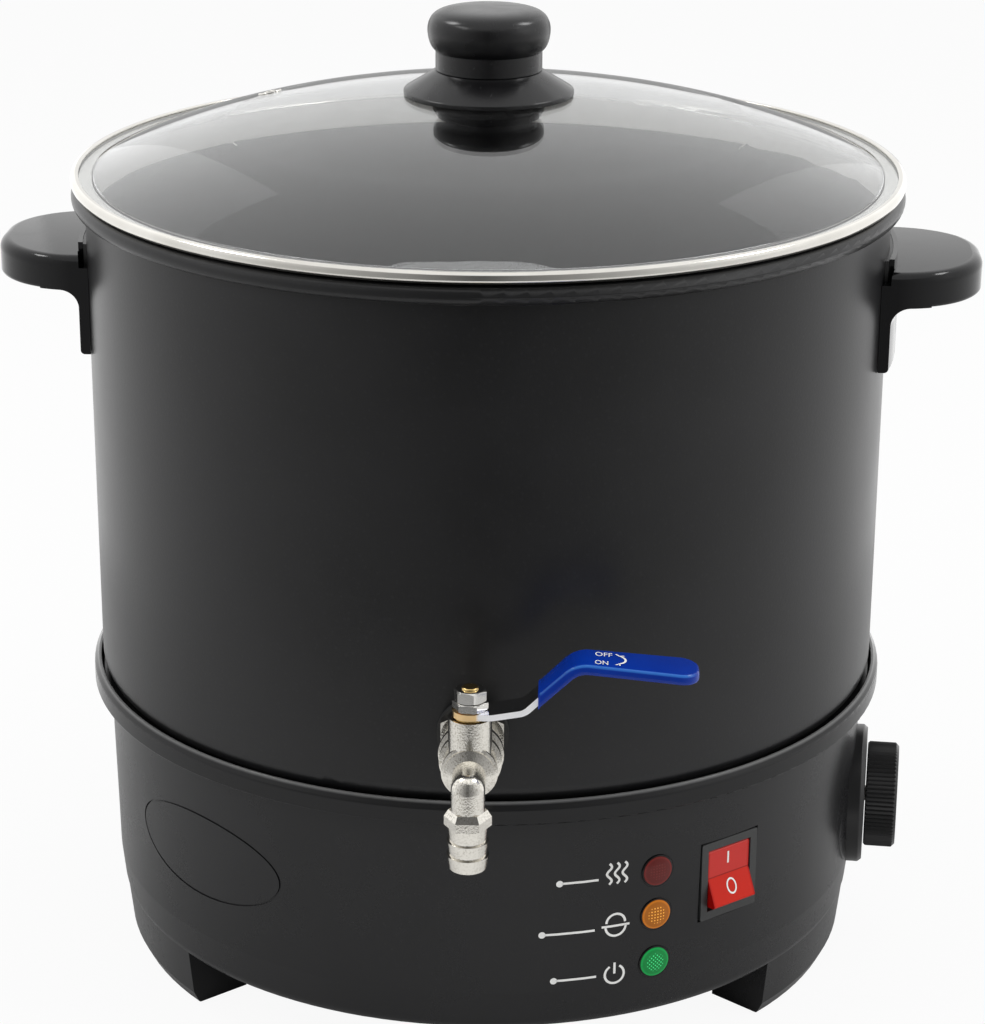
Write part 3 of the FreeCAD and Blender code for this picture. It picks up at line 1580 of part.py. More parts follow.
export("tap_gasket", tap_gasket())
export("tap_inner_gasket", tap_inner_gasket())
export("tap_washer", tap_washer())
export("tap_lock_nut", tap_lock_nut())
export("tap_tailpiece", tap_tailpiece())
export("tap_body", tap_body())
export("tap_seats", *tap_seats())
export("tap_ball", tap_ball())
export("tap_stem", tap_stem())
export("stem_packing", stem_packing())
export("packing_nut", packing_nut())
export("hose_barb", hose_barb())
export("tap_lever", tap_lever())
export("lever_grip", lever_grip())
export("lever_jam_nut", lever_jam_nut())
export("lever_nut", lever_nut())

export("lid_glass", lid_glass())
export("lid_band", lid_band())
export("vent_grommet", vent_grommet())
export("lid_knob_skirt", knob_skirt())
export("lid_knob", lid_knob())
export("knob_under_washer", under_washer())
export("knob_screw", knob_screw())
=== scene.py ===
import bpy
import bmesh
import math
from mathutils import Matrix, Vector
from mathutils.bvhtree import BVHTree


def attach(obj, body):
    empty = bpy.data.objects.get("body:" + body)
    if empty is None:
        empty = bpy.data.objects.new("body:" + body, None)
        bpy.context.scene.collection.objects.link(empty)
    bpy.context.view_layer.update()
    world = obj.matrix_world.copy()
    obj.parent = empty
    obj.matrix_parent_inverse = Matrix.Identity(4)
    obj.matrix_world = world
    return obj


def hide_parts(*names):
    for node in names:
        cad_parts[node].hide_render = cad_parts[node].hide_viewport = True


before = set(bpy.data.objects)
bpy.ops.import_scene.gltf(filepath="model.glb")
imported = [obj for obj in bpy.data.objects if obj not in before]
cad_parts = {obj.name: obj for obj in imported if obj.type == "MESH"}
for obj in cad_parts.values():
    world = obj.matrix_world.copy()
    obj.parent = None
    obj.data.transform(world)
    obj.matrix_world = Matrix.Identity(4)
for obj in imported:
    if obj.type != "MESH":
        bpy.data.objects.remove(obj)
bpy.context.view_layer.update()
scene = bpy.context.scene
scene.view_settings.view_transform = "Standard"

# ---- Camera
# A long lens a little over a metre from the pot's axis, looking down at twenty degrees.
# The lens shift only centres the picture on the frame.
picture_wide, picture_tall = 985, 1024
focal_pixels, axis_column = 2991.275, 486.856
film = 36.0
distance, height = 1.108332, 0.573305
turn, pitch, roll = math.radians(1.7), math.radians(20.0217), math.radians(0.2618)
ahead = Vector((-math.sin(turn) * math.cos(pitch), math.cos(turn) * math.cos(pitch),
                -math.sin(pitch)))
level = Vector((math.cos(turn), math.sin(turn), 0))
upright = level.cross(ahead)
across = math.cos(roll) * level + math.sin(roll) * upright
above = -math.sin(roll) * level + math.cos(roll) * upright
lens = bpy.data.cameras.new("camera")
lens.sensor_fit = "VERTICAL"
lens.sensor_width = film
lens.sensor_height = film
lens.lens = film * focal_pixels / picture_tall
lens.shift_x = (picture_wide / 2 - axis_column) / picture_tall
camera = bpy.data.objects.new("camera", lens)
camera.matrix_world = Matrix(((across.x, above.x, -ahead.x, distance * math.sin(turn)),
                              (across.y, above.y, -ahead.y, -distance * math.cos(turn)),
                              (across.z, above.z, -ahead.z, height), (0, 0, 0, 1)))
scene.collection.objects.link(camera)
scene.camera = camera

# ---- Base housing
# One deep moulding in black heat-resistant plastic with two wide side feet. The mould's
# spark-eroded surface leaves a fine satin grain, and the flow of the plastic faint clouds.


def feed(tree, value, socket):
    """Links another node's output, or sets a plain value."""
    if isinstance(value, bpy.types.NodeSocket):
        tree.links.new(value, socket)
    else:
        socket.default_value = value


def add(tree, kind, settings=None, **inputs):
    """A node with its settings and its named inputs. A short kind is a shader node's."""
    node = tree.nodes.new(kind if "Node" in kind else "ShaderNode" + kind)
    for name, value in (settings or {}).items():
        setattr(node, name, value)
    for name, value in inputs.items():
        feed(tree, value, node.inputs[name.replace("_", " ")])
    return node


def work(tree, operation, *values):
    """One Math node's result."""
    node = add(tree, "Math", {"operation": operation})
    for value, socket in zip(values, node.inputs):
        feed(tree, value, socket)
    return node.outputs[0]


def span(tree, value, low, high, start=0.0, end=1.0):
    """A value spread from one range to another, clamped."""
    return add(tree, "MapRange", Value=value, From_Min=low, From_Max=high, To_Min=start,
               To_Max=end).outputs[0]


def tint(tree, share, first, second):
    """A colour between two colours, which are the Mix node's inputs 6 and 7."""
    node = add(tree, "Mix", {"data_type": "RGBA"})
    for value, place in ((share, 0), (first, 6), (second, 7)):
        feed(tree, (*value, 1.0) if isinstance(value, tuple) else value, node.inputs[place])
    return node.outputs[2]


def here(tree):
    """The place on the piece, in metres from the model's origin."""
    return add(tree, "TexCoord").outputs["Object"]


def noise(tree, place, size, **shape):
    """Soft lumps of a size in metres."""
    return add(tree, "TexNoise", Vector=place, Scale=work(tree, "DIVIDE", 1.0, size),
               **shape).outputs[0]


def cells(tree, place, size, density=1.0):
    """The distance to the nearest of scattered points."""
    return add(tree, "TexVoronoi", Vector=place,
               Scale=work(tree, "DIVIDE", density, size)).outputs["Distance"]


def effect(name, inputs, outputs):
    """A shader node group with named inputs and outputs, all plain numbers."""
    group = bpy.data.node_groups.new(name, "ShaderNodeTree")
    for label, value in inputs.items():
        socket = group.interface.new_socket(name=label, in_out="INPUT",
                                            socket_type="NodeSocketFloat")
        socket.default_value = value
    for label in outputs:
        group.interface.new_socket(name=label, in_out="OUTPUT", socket_type="NodeSocketFloat")
    return (group, group.nodes.new("NodeGroupInput").outputs,
            group.nodes.new("NodeGroupOutput").inputs)


def use(tree, group, **values):
    """An effect placed in a material with its own values."""
    return add(tree, "Group", {"node_tree": group}, **values).outputs


def finish(name, colour, roughness, **constants):
    """A material, its tree and its shader's sockets."""
    material = bpy.data.materials.new(name)
    material.use_nodes = True
    material.diffuse_color = (*colour, 1.0)
    shader = material.node_tree.nodes["Principled BSDF"].inputs
    shader["Base Color"].default_value = (*colour, 1.0)
    shader["Roughness"].default_value = roughness
    for label, value in constants.items():
        shader[label.replace("_", " ")].default_value = value
    return material, material.node_tree, shader


def relief(tree, shader, height, depth):
    """Raises the surface by a height pattern, depth metres at most."""
    bumped = add(tree, "Bump", Height=height, Distance=depth, Strength=1.0)
    tree.links.new(bumped.outputs["Normal"], shader["Normal"])


def dress(material, *names):
    """Gives CAD nodes their finish."""
    for name in names:
        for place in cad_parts[name].material_slots:
            place.material = material


grain, given, made = effect("moulded_grain", {"Grain Size": 0.0006, "Cloud Size": 0.06},
                            ("Height", "Cloud", "Speck"))
spot = here(grain)
fine = noise(grain, spot, given["Grain Size"], Detail=3.0, Roughness=0.6)
broad = noise(grain, spot, given["Cloud Size"], Detail=4.0, Roughness=0.55)
dots = cells(grain, spot, given["Grain Size"], density=0.4)
feed(grain, fine, made["Height"])
feed(grain, span(grain, broad, 0.32, 0.68), made["Cloud"])
feed(grain, span(grain, dots, 0.28, 0.12), made["Speck"])


def moulded(name, dark, pale, smooth, rough, grain_size, depth, **constants):
    """Moulded plastic or a baked coating: clouded colour, specks and grain."""
    speck_lift, speck_share, grain_share = 1.7, 0.35, 0.5
    material, tree, shader = finish(name, pale, rough, **constants)
    skin = use(tree, grain, Grain_Size=grain_size)
    shade = tint(tree, skin["Cloud"], dark, pale)
    speck = tuple(min(1.0, speck_lift * part) for part in pale)
    shade = tint(tree, work(tree, "MULTIPLY", skin["Speck"], speck_share), shade, speck)
    feed(tree, shade, shader["Base Color"])
    mixed = work(tree, "ADD", skin["Cloud"], work(tree, "MULTIPLY", skin["Height"], grain_share))
    feed(tree, span(tree, mixed, 0.0, 1.0 + grain_share, smooth, rough), shader["Roughness"])
    relief(tree, shader, skin["Height"], depth)
    return material


housing_plastic = moulded("housing_plastic", dark=(0.0065, 0.0065, 0.0071),
                          pale=(0.0092, 0.0092, 0.0100), smooth=0.24, rough=0.30,
                          grain_size=0.0007, depth=0.00003, Specular_IOR_Level=0.36)
dress(housing_plastic, "base_housing")

# ---- Bottom cover, its screws and the foot pads
# A zinc-plated sheet disc with cooling slots closes the housing, held by six pan-head screws
# in the housing's bosses. Each of the two feet carries two pressed-in black rubber pads.


def stretched(tree, place, factors):
    """A place scaled along each axis, which draws a pattern out into lines."""
    scaled = add(tree, "VectorMath", {"operation": "MULTIPLY"})
    feed(tree, place, scaled.inputs[0])
    feed(tree, factors, scaled.inputs[1])
    return scaled.outputs[0]


rolled, given, made = effect("rolled_sheet", {"Line Size": 0.0008, "Stain Scale": 40.0},
                             ("Lines", "Stain"))
spot = here(rolled)
lines = noise(rolled, stretched(rolled, spot, (1.0, 0.03, 1.0)), given["Line Size"], Detail=2.0)
stain = add(rolled, "TexNoise", Vector=spot, Scale=given["Stain Scale"], Detail=5.0).outputs[0]
feed(rolled, lines, made["Lines"])
feed(rolled, span(rolled, stain, 0.35, 0.7), made["Stain"])


def sheet(name, clean, dull, smooth, rough, line_size, depth):
    """Bare or plated metal with rolling lines and faint stains."""
    material, tree, shader = finish(name, clean, smooth, Metallic=1.0)
    skin = use(tree, rolled, Line_Size=line_size)
    feed(tree, tint(tree, skin["Stain"], clean, dull), shader["Base Color"])
    mixed = work(tree, "ADD", skin["Stain"], skin["Lines"])
    feed(tree, span(tree, mixed, 0.4, 1.6, smooth, rough), shader["Roughness"])
    relief(tree, shader, skin["Lines"], depth)
    return material


sheet_steel = sheet("sheet_steel", clean=(0.60, 0.60, 0.61), dull=(0.47, 0.47, 0.48),
                    smooth=0.24, rough=0.42, line_size=0.0007, depth=0.00001)
fastener_steel = sheet("fastener_steel", clean=(0.66, 0.65, 0.63), dull=(0.50, 0.49, 0.46),
                       smooth=0.18, rough=0.34, line_size=0.0005, depth=0.00001)
black_rubber = moulded("black_rubber", dark=(0.012, 0.012, 0.012), pale=(0.022, 0.022, 0.022),
                       smooth=0.62, rough=0.8, grain_size=0.0009, depth=0.00004)
dress(sheet_steel, "bottom_cover")
dress(fastener_steel, "bottom_cover_screws")
dress(black_rubber, "foot_pads")

# ---- Collar ring
# A black ring of smoother plastic that snaps into the housing's mouth and centres the pot.
# A thin pale line painted round the top of its lip is a painted highlight.


def axes(tree, vector):
    """The three parts of a vector."""
    return add(tree, "SeparateXYZ", Vector=vector).outputs


def from_axis(tree, first, second):
    """The distance from an axis of a point with these two places across it."""
    squares = [work(tree, "POWER", part, 2.0) for part in (first, second)]
    return work(tree, "SQRT", work(tree, "ADD", *squares))


collar_plastic = moulded("collar_plastic", dark=(0.0105, 0.0105, 0.011),
                         pale=(0.0145, 0.0145, 0.015), smooth=0.10, rough=0.15,
                         grain_size=0.0011, depth=0.00001, Specular_IOR_Level=0.26)
tree = collar_plastic.node_tree
point = axes(tree, here(tree))
radius = from_axis(tree, point["X"], point["Y"])
inner_side = span(tree, radius, 0.1524, 0.1530)
outer_side = span(tree, radius, 0.1540, 0.1546, 1.0, 0.0)
# A thin ring at the top of the lip is painted pale: a painted highlight.
painted_lip_highlight = work(tree, "MULTIPLY", span(tree, point["Z"], 0.1150, 0.1160),
                work(tree, "MULTIPLY", inner_side, outer_side))
feed(tree, tint(tree, painted_lip_highlight, (0.011, 0.011, 0.0115), (0.13, 0.13, 0.13)),
     tree.nodes["Principled BSDF"].inputs["Base Color"])
dress(collar_plastic, "collar_ring")

# ---- Pot
# Spun aluminium with a rolled rim, coated inside and out in baked satin black. The coating
# has a fine orange peel and dries a touch paler where it is thin.
pot_coating = moulded("pot_coating", dark=(0.0070, 0.0070, 0.0075),
                      pale=(0.0100, 0.0100, 0.0107), smooth=0.28, rough=0.35,
                      grain_size=0.0010, depth=0.00003, Specular_IOR_Level=0.38)
dress(pot_coating, "pot")

# ---- Heating parts under the pot
# A cast aluminium plate with a bent tubular element, both hung on the pot's studs. A steel
# pan with a felted fibre disc keeps the heat up. Zinc-plated nuts hold the stack.
cast, given, made = effect("cast_skin", {"Pit Size": 0.0012, "Patch Size": 0.01},
                           ("Height", "Pit", "Patch"))
spot = here(cast)
lumps = noise(cast, spot, given["Pit Size"], Detail=4.0, Roughness=0.7)
pores = cells(cast, spot, given["Pit Size"])
patch = noise(cast, spot, given["Patch Size"], Detail=2.0)
feed(cast, work(cast, "ADD", lumps, work(cast, "MULTIPLY", pores, 0.35)), made["Height"])
feed(cast, span(cast, lumps, 0.50, 0.62), made["Pit"])
feed(cast, span(cast, patch, 0.35, 0.65), made["Patch"])


def casting(name, bright, dark, smooth, rough, pit_size, depth, metal=1.0):
    """A cast or fired skin: small pits that are darker and duller than the rest."""
    faintest = 0.35
    material, tree, shader = finish(name, bright, smooth, Metallic=metal)
    skin = use(tree, cast, Pit_Size=pit_size)
    pits = work(tree, "MULTIPLY", skin["Pit"], span(tree, skin["Patch"], 0.0, 1.0, faintest))
    feed(tree, tint(tree, pits, bright, dark), shader["Base Color"])
    feed(tree, span(tree, pits, 0.0, 1.0, smooth, rough), shader["Roughness"])
    relief(tree, shader, skin["Height"], depth)
    return material


aluminium = casting("cast_aluminium", bright=(0.66, 0.66, 0.67), dark=(0.42, 0.42, 0.43),
                    smooth=0.38, rough=0.55, pit_size=0.0016, depth=0.00008)
element_sheath = casting("element_sheath", bright=(0.30, 0.27, 0.25), dark=(0.13, 0.12, 0.12),
                         smooth=0.4, rough=0.6, pit_size=0.0018, depth=0.00003)
mineral_fibre = casting("mineral_fibre", bright=(0.78, 0.76, 0.70), dark=(0.60, 0.57, 0.50),
                        smooth=0.85, rough=0.95, pit_size=0.0022, depth=0.0004, metal=0.0)
dress(aluminium, "heating_plate")
dress(element_sheath, "heating_element")
dress(sheet_steel, "heat_shield_pan")
dress(mineral_fibre, "insulation_disc")
dress(fastener_steel, "pan_nuts")

# ---- Thermal cut-out and terminal block
# Both are unglazed white ceramic, which stays hard near the element. The cut-out sits against
# the heating plate from below, and the block stands on the housing's floor.
ceramic = casting("ceramic", bright=(0.80, 0.78, 0.72), dark=(0.66, 0.63, 0.56), smooth=0.5,
                  rough=0.7, pit_size=0.0008, depth=0.00003, metal=0.0)
dress(ceramic, "thermal_cutout", "terminal_block")

# ---- Thermostat
# A capillary thermostat is screwed behind the boss on the right. Its bezel and its ribbed
# knob are satin black mouldings, and its bulb is nickel-plated.
black_nylon = moulded("black_nylon", dark=(0.016, 0.016, 0.017), pale=(0.026, 0.026, 0.027),
                      smooth=0.45, rough=0.6, grain_size=0.0006, depth=0.00003)
dial_plastic = moulded("dial_plastic", dark=(0.008, 0.008, 0.0085), pale=(0.012, 0.012, 0.0125),
                       smooth=0.27, rough=0.36, grain_size=0.0005, depth=0.00001,
                       Specular_IOR_Level=0.42)
nickel = casting("nickel_plate", bright=(0.88, 0.85, 0.78), dark=(0.50, 0.47, 0.40),
                 smooth=0.06, rough=0.16, pit_size=0.0007, depth=0.00006)
dress(black_nylon, "thermostat_body")
dress(dial_plastic, "thermostat_bezel", "thermostat_knob")
dress(fastener_steel, "thermostat_screws", "thermostat_shaft")
dress(nickel, "thermostat_bulb")

# ---- Dial scale and pointer
# White pad-printed ink: eleven ticks round the bezel from off to full heat, made from one
# short bar, and a pointer line on the knob's face. Each mark is a flat outline in
# millimetres, laid a tenth of one above the surface below it.


def panel(azimuth, distance, height):
    """A flat frame facing outwards: x to the right, y up, z out, seen from outside."""
    angle = math.radians(azimuth)
    right = Vector((math.cos(angle), math.sin(angle), 0))
    out = Vector((math.sin(angle), -math.cos(angle), 0))
    spot = out * distance + Vector((0, 0, height))
    return Matrix(((right.x, 0, out.x, spot.x), (right.y, 0, out.y, spot.y),
                   (0, 1, 0, spot.z), (0, 0, 0, 1)))


def stroke(marks, points, width, closed=False):
    """A pen line of one width through flat points."""
    count = len(points)
    edge = []
    for i, point in enumerate(points):
        before = points[i - 1] if i or closed else point
        after = points[(i + 1) % count] if i < count - 1 or closed else point
        run = Vector((after[0] - before[0], after[1] - before[1])).normalized()
        side = Vector((-run.y, run.x)) * width / 2
        edge.append([marks.verts.new((point[0] + sign * side.x, point[1] + sign * side.y, 0))
                     for sign in (1, -1)])
    for i in range(count if closed else count - 1):
        (a, b), (c, d) = edge[i], edge[(i + 1) % count]
        marks.faces.new((b, d, c, a))


def line(start, end, steps):
    """Evenly spaced points along a straight line."""
    return [(start[0] + (end[0] - start[0]) * i / steps,
             start[1] + (end[1] - start[1]) * i / steps) for i in range(steps + 1)]


def lay_print(name, marks, place, onto, body):
    """Lays flat marks on a piece, looking along the frame's own z axis."""
    ink_lift, stand_off, longest_edge, halvings = 0.0001, 0.03, 0.5, 4
    bmesh.ops.triangulate(marks, faces=marks.faces)
    for _ in range(halvings):
        long_edges = [e for e in marks.edges if e.calc_length() > longest_edge]
        if long_edges:
            bmesh.ops.subdivide_edges(marks, edges=long_edges, cuts=1)
            bmesh.ops.triangulate(marks, faces=marks.faces)
    carrier = onto.data
    tree = BVHTree.FromPolygons([v.co for v in carrier.vertices],
                                [p.vertices[:] for p in carrier.polygons])
    out = (place.to_3x3() @ Vector((0, 0, 1))).normalized()
    for vertex in marks.verts:
        start = place @ (vertex.co * 0.001) + out * stand_off
        hit, normal, _, _ = tree.ray_cast(start, -out)
        vertex.co = hit + (normal if normal.dot(out) > 0 else -normal) * ink_lift
    for face in marks.faces:
        face.normal_update()
        if face.normal.dot(out) < 0:
            face.normal_flip()
    mesh = bpy.data.meshes.new(name)
    marks.to_mesh(mesh)
    marks.free()
    mesh.materials.append(ink)
    piece = bpy.data.objects.new(name, mesh)
    scene.collection.objects.link(piece)
    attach(piece, body)


ink, tree, shader = finish("white_ink", (0.80, 0.80, 0.78), 0.5)
skin = use(tree, grain, Grain_Size=0.0003)
feed(tree, tint(tree, skin["Cloud"], (0.72, 0.72, 0.70), (0.86, 0.86, 0.84)),
     shader["Base Color"])
relief(tree, shader, skin["Height"], 0.00001)
ticks = bpy.data.node_groups.new("dial_ticks", "GeometryNodeTree")
ticks.interface.new_socket(name="Geometry", in_out="INPUT", socket_type="NodeSocketGeometry")
for label, kind, value in (("Count", "NodeSocketInt", 11),
                           ("Radius", "NodeSocketFloat", 24.0),
                           ("Length", "NodeSocketFloat", 2.6),
                           ("Width", "NodeSocketFloat", 0.7),
                           ("Sweep", "NodeSocketFloat", math.radians(270))):
    socket = ticks.interface.new_socket(name=label, in_out="INPUT", socket_type=kind)
    socket.default_value = value
ticks.interface.new_socket(name="Material", in_out="INPUT", socket_type="NodeSocketMaterial")
ticks.interface.new_socket(name="Geometry", in_out="OUTPUT", socket_type="NodeSocketGeometry")
given = ticks.nodes.new("NodeGroupInput").outputs
first_angle = work(ticks, "MULTIPLY_ADD", given["Sweep"], -0.5, math.radians(90))
ring = add(ticks, "GeometryNodeCurveArc", {"mode": "RADIUS"}, Radius=given["Radius"],
           Start_Angle=first_angle, Sweep_Angle=given["Sweep"]).outputs[0]
places = add(ticks, "GeometryNodeCurveToPoints", Curve=ring,
             Count=given["Count"]).outputs["Points"]
at = axes(ticks, add(ticks, "GeometryNodeInputPosition").outputs[0])
turned_by = add(ticks, "CombineXYZ", Z=work(ticks, "ARCTAN2", at["Y"], at["X"])).outputs[0]
facing_out = add(ticks, "FunctionNodeEulerToRotation", Euler=turned_by).outputs[0]
bar = add(ticks, "GeometryNodeMeshGrid", Size_X=given["Length"],
          Size_Y=given["Width"]).outputs["Mesh"]
spread = add(ticks, "GeometryNodeInstanceOnPoints", Points=places, Instance=bar,
             Rotation=facing_out).outputs[0]
real = add(ticks, "GeometryNodeRealizeInstances", Geometry=spread).outputs[0]
inked = add(ticks, "GeometryNodeSetMaterial", Geometry=real,
            Material=given["Material"]).outputs[0]
feed(ticks, inked, ticks.nodes.new("NodeGroupOutput").inputs[0])
carrier = bpy.data.objects.new("dial_ticks", bpy.data.meshes.new("dial_ticks"))
scene.collection.objects.link(carrier)
maker = carrier.modifiers.new("ticks", "NODES")
maker.node_group = ticks
for item in ticks.interface.items_tree:
    if item.in_out == "INPUT" and item.name == "Material":
        maker[item.identifier] = ink
grown = carrier.evaluated_get(bpy.context.evaluated_depsgraph_get())
scale = bmesh.new()
scale.from_mesh(bpy.data.meshes.new_from_object(grown))
bpy.data.objects.remove(carrier)
dial = panel(azimuth=83.5, distance=0.147, height=0.0586)
lay_print("dial_scale", scale, dial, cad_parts["thermostat_bezel"], "melter")
pointer = bmesh.new()
stroke(pointer, line((0, 9.5), (0, 18.0), 10), 1.1)
pointer.transform(Matrix.Rotation(math.radians(135), 4, "Z"))
lay_print("knob_pointer", pointer, dial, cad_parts["thermostat_knob"], "dial")

# ---- Rocker switch
# A snap-in switch with a satin black frame and brass blades behind. Its translucent red
# rocker is printed I and O. Its colour holds painted light and shade: its upper half is
# painted paler, and its sides and the crease between its two faces are painted darker.


def from_middle(tree, azimuth, height):
    """The place on the piece in a panel's own frame: x to the right, z up."""
    return add(tree, "Mapping", {"vector_type": "TEXTURE"}, Vector=here(tree),
               Location=(0, 0, height), Rotation=(0, 0, math.radians(azimuth))).outputs[0]


switch_plastic = moulded("switch_plastic", dark=(0.020, 0.021, 0.021),
                         pale=(0.030, 0.031, 0.031), smooth=0.34, rough=0.44,
                         grain_size=0.0006, depth=0.00002)
brass = sheet("brass", clean=(0.78, 0.56, 0.24), dull=(0.55, 0.38, 0.15), smooth=0.22,
              rough=0.38, line_size=0.0004, depth=0.00001)
switch_azimuth, switch_height = 38.8, 0.071
rocker_red, tree, shader = finish("rocker_red", (0.45, 0.02, 0.012), 0.2,
                                  Specular_IOR_Level=0.18)
point = axes(tree, from_middle(tree, switch_azimuth, switch_height))
# Painted light and shade: the upper half is painted paler, the sides and the crease darker.
painted_upper_light = span(tree, point["Z"], 0.0005, 0.0012)
off_crease = work(tree, "ABSOLUTE", work(tree, "SUBTRACT", point["Z"], 0.0008))
painted_crease_shade = span(tree, off_crease, 0.0, 0.00035, 1.0, 0.0)
painted_flank_shade = span(tree, work(tree, "ABSOLUTE", point["X"]), 0.0090, 0.0098)
skin = use(tree, grain, Grain_Size=0.0009)
shade = tint(tree, painted_upper_light, (0.54, 0.018, 0.008), (0.53, 0.036, 0.030))
shade = tint(tree, painted_flank_shade, shade, (0.34, 0.002, 0.001))
shade = tint(tree, work(tree, "MULTIPLY", skin["Speck"], 0.3), shade, (0.50, 0.03, 0.02))
shade = tint(tree, work(tree, "MULTIPLY", painted_crease_shade, 0.7), shade, (0.06, 0.001, 0.001))
feed(tree, shade, shader["Base Color"])
feed(tree, span(tree, skin["Cloud"], 0.0, 1.0, 0.16, 0.26), shader["Roughness"])
relief(tree, shader, skin["Height"], 0.00001)
dress(switch_plastic, "switch_body")
dress(rocker_red, "switch_rocker")
dress(brass, "switch_blades")
ring_middle, ring_half_wide, ring_half_tall, ring_steps = (0.1, -3.9), 2.0, 2.5, 40
rocker_marks = bmesh.new()
stroke(rocker_marks, line((-0.35, 4.9), (-0.35, 9.6), 8), 0.8)
stroke(rocker_marks, [(ring_middle[0] + ring_half_wide * math.cos(math.tau * i / ring_steps),
                       ring_middle[1] + ring_half_tall * math.sin(math.tau * i / ring_steps))
                      for i in range(ring_steps)], 0.62, closed=True)
lay_print("rocker_marks", rocker_marks, panel(switch_azimuth, 0.1469, switch_height),
          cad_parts["switch_rocker"], "rocker")

# ---- Indicator lamps
# Three neon lamps with domed lenses, held by nuts inside the housing. A moulded grid behind
# each face breaks the light into dots. Red is out, amber and green are lit.


def lamp_lens(name, height, deep, bright, glow, pitch, lean, reach):
    """A tinted lens with a grid of bright dots in the middle of its face, a pale ring near its
    edge that is a painted highlight, and a black ring outside that is painted shade.
    """
    azimuth, lens_radius, rim_highlight_lift, gap_shade_black = 26.4, 0.006, 1.5, (0.002, 0.002, 0.002)
    material, tree, shader = finish(name, deep, 0.12, Specular_IOR_Level=0.3,
                                    Emission_Strength=glow)
    local = from_middle(tree, azimuth, height)
    grid = axes(tree, add(tree, "Mapping", Vector=local,
                          Rotation=(0, math.radians(lean), 0)).outputs[0])
    waves = [work(tree, "SINE", work(tree, "MULTIPLY", grid[axis], math.tau / pitch))
             for axis in "XZ"]
    flat = axes(tree, local)
    away = from_axis(tree, flat["X"], flat["Z"])
    spots = work(tree, "MULTIPLY", span(tree, work(tree, "ADD", *waves), 0.7, 1.5),
                 span(tree, away, reach * 0.8, reach, 1.0, 0.0))
    # A pale ring near the lens's edge is a painted highlight; the black ring outside it is
    # painted shade for the gap round the lens.
    highlight_ring = span(tree, away, 0.0048, 0.0052)
    sleeve = span(tree, away, 0.0056, 0.0058)
    shade = tint(tree, spots, deep, bright)
    shade = tint(tree, highlight_ring, shade, tuple(min(1.0, part * rim_highlight_lift) for part in deep))
    shade = tint(tree, sleeve, shade, gap_shade_black)
    feed(tree, shade, shader["Base Color"])
    feed(tree, shade, shader["Emission Color"])
    feed(tree, span(tree, away, 0.0, lens_radius, 0.10, 0.2), shader["Roughness"])
    relief(tree, shader, spots, 0.00005)
    return material


dress(lamp_lens("red_lens", height=0.081, deep=(0.105, 0.010, 0.008),
                bright=(0.16, 0.020, 0.016), glow=0.0, pitch=0.0011, lean=0, reach=0.0037),
      "red_lamp_lens")
dress(lamp_lens("amber_lens", height=0.0633, deep=(0.30, 0.090, 0.004),
                bright=(0.95, 0.44, 0.06), glow=0.25, pitch=0.0012, lean=0, reach=0.0038),
      "amber_lamp_lens")
dress(lamp_lens("green_lens", height=0.0437, deep=(0.001, 0.17, 0.034),
                bright=(0.06, 0.75, 0.25), glow=0.3, pitch=0.0011, lean=45, reach=0.0038),
      "green_lamp_lens")
dress(black_nylon, "lamp_bodies", "lamp_nuts")

# ---- Signs beside the lamps
# One generic sign for each lamp, printed on the housing with a thin leader line: rising heat,
# a lidded bowl that is kept warm, and the usual stand-by circle.


def arc(centre, radius, first, last, steps=24):
    """Points along a circle's arc, from one angle to another in degrees."""
    angles = [math.radians(first + (last - first) * i / steps) for i in range(steps + 1)]
    return [(centre[0] + radius * math.cos(a), centre[1] + radius * math.sin(a))
            for a in angles]


def dot(marks, centre, radius, sides=24):
    """A filled round dot."""
    corners = arc(centre, radius, 0, 360 - 360 / sides, sides - 1)
    marks.faces.new([marks.verts.new((x, y, 0)) for x, y in corners])


pen, leader_end = 0.9, 1.3
wave_foot, wave_tall, wave_swing, wave_steps = 22.6, 8.4, 0.9, 24
signs = bmesh.new()
for lane in (-3.0, 0.0, 3.0):
    stroke(signs, [(lane + wave_swing * math.sin(math.tau * i / 16),
                    wave_foot + wave_tall * i / wave_steps) for i in range(wave_steps + 1)], pen)
stroke(signs, arc((0, 5.2), 3.9, 180, 360), pen)
stroke(signs, line((-5.4, 5.4), (5.4, 5.4), 12), pen)
stroke(signs, arc((0, 6.6), 3.6, 0, 180), pen)
stroke(signs, arc((0, -14.6), 3.7, 120, 420, 36), pen)
stroke(signs, line((0, -14.4), (0, -9.8), 8), pen)
for row, left, right, steps in ((25.0, -20.5, -7.0, 14), (4.6, -26.5, -8.0, 20),
                                (-14.6, -22.0, -7.0, 16)):
    stroke(signs, line((left, row), (right, row), steps), pen)
    dot(signs, (left - pen, row), leader_end)
lay_print("lamp_signs", signs, panel(azimuth=20.3, distance=0.149, height=0.056),
          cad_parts["base_housing"], "melter")

# ---- Mains gland
# A black nylon compression gland for the mains cord, put through the housing's back wall and
# held by a nut inside.
dress(black_nylon, "cord_gland", "gland_nut")

# ---- Handles
# Two glossy black phenolic grips, each held from below by one screw in the tongue of a curved
# steel bracket on the pot's wall. Handling leaves faint dull smears on the gloss.
smear, given, made = effect("handling_smears", {"Smear Size": 0.02}, ("Smear", "Scratch"))
spot = here(smear)
blur = noise(smear, spot, given["Smear Size"], Detail=3.0, Distortion=1.2)
hair = add(smear, "TexNoise", Vector=stretched(smear, spot, (1.0, 0.06, 0.5)), Scale=900.0,
           Detail=1.0).outputs[0]
feed(smear, span(smear, blur, 0.42, 0.68), made["Smear"])
feed(smear, span(smear, hair, 0.68, 0.74), made["Scratch"])


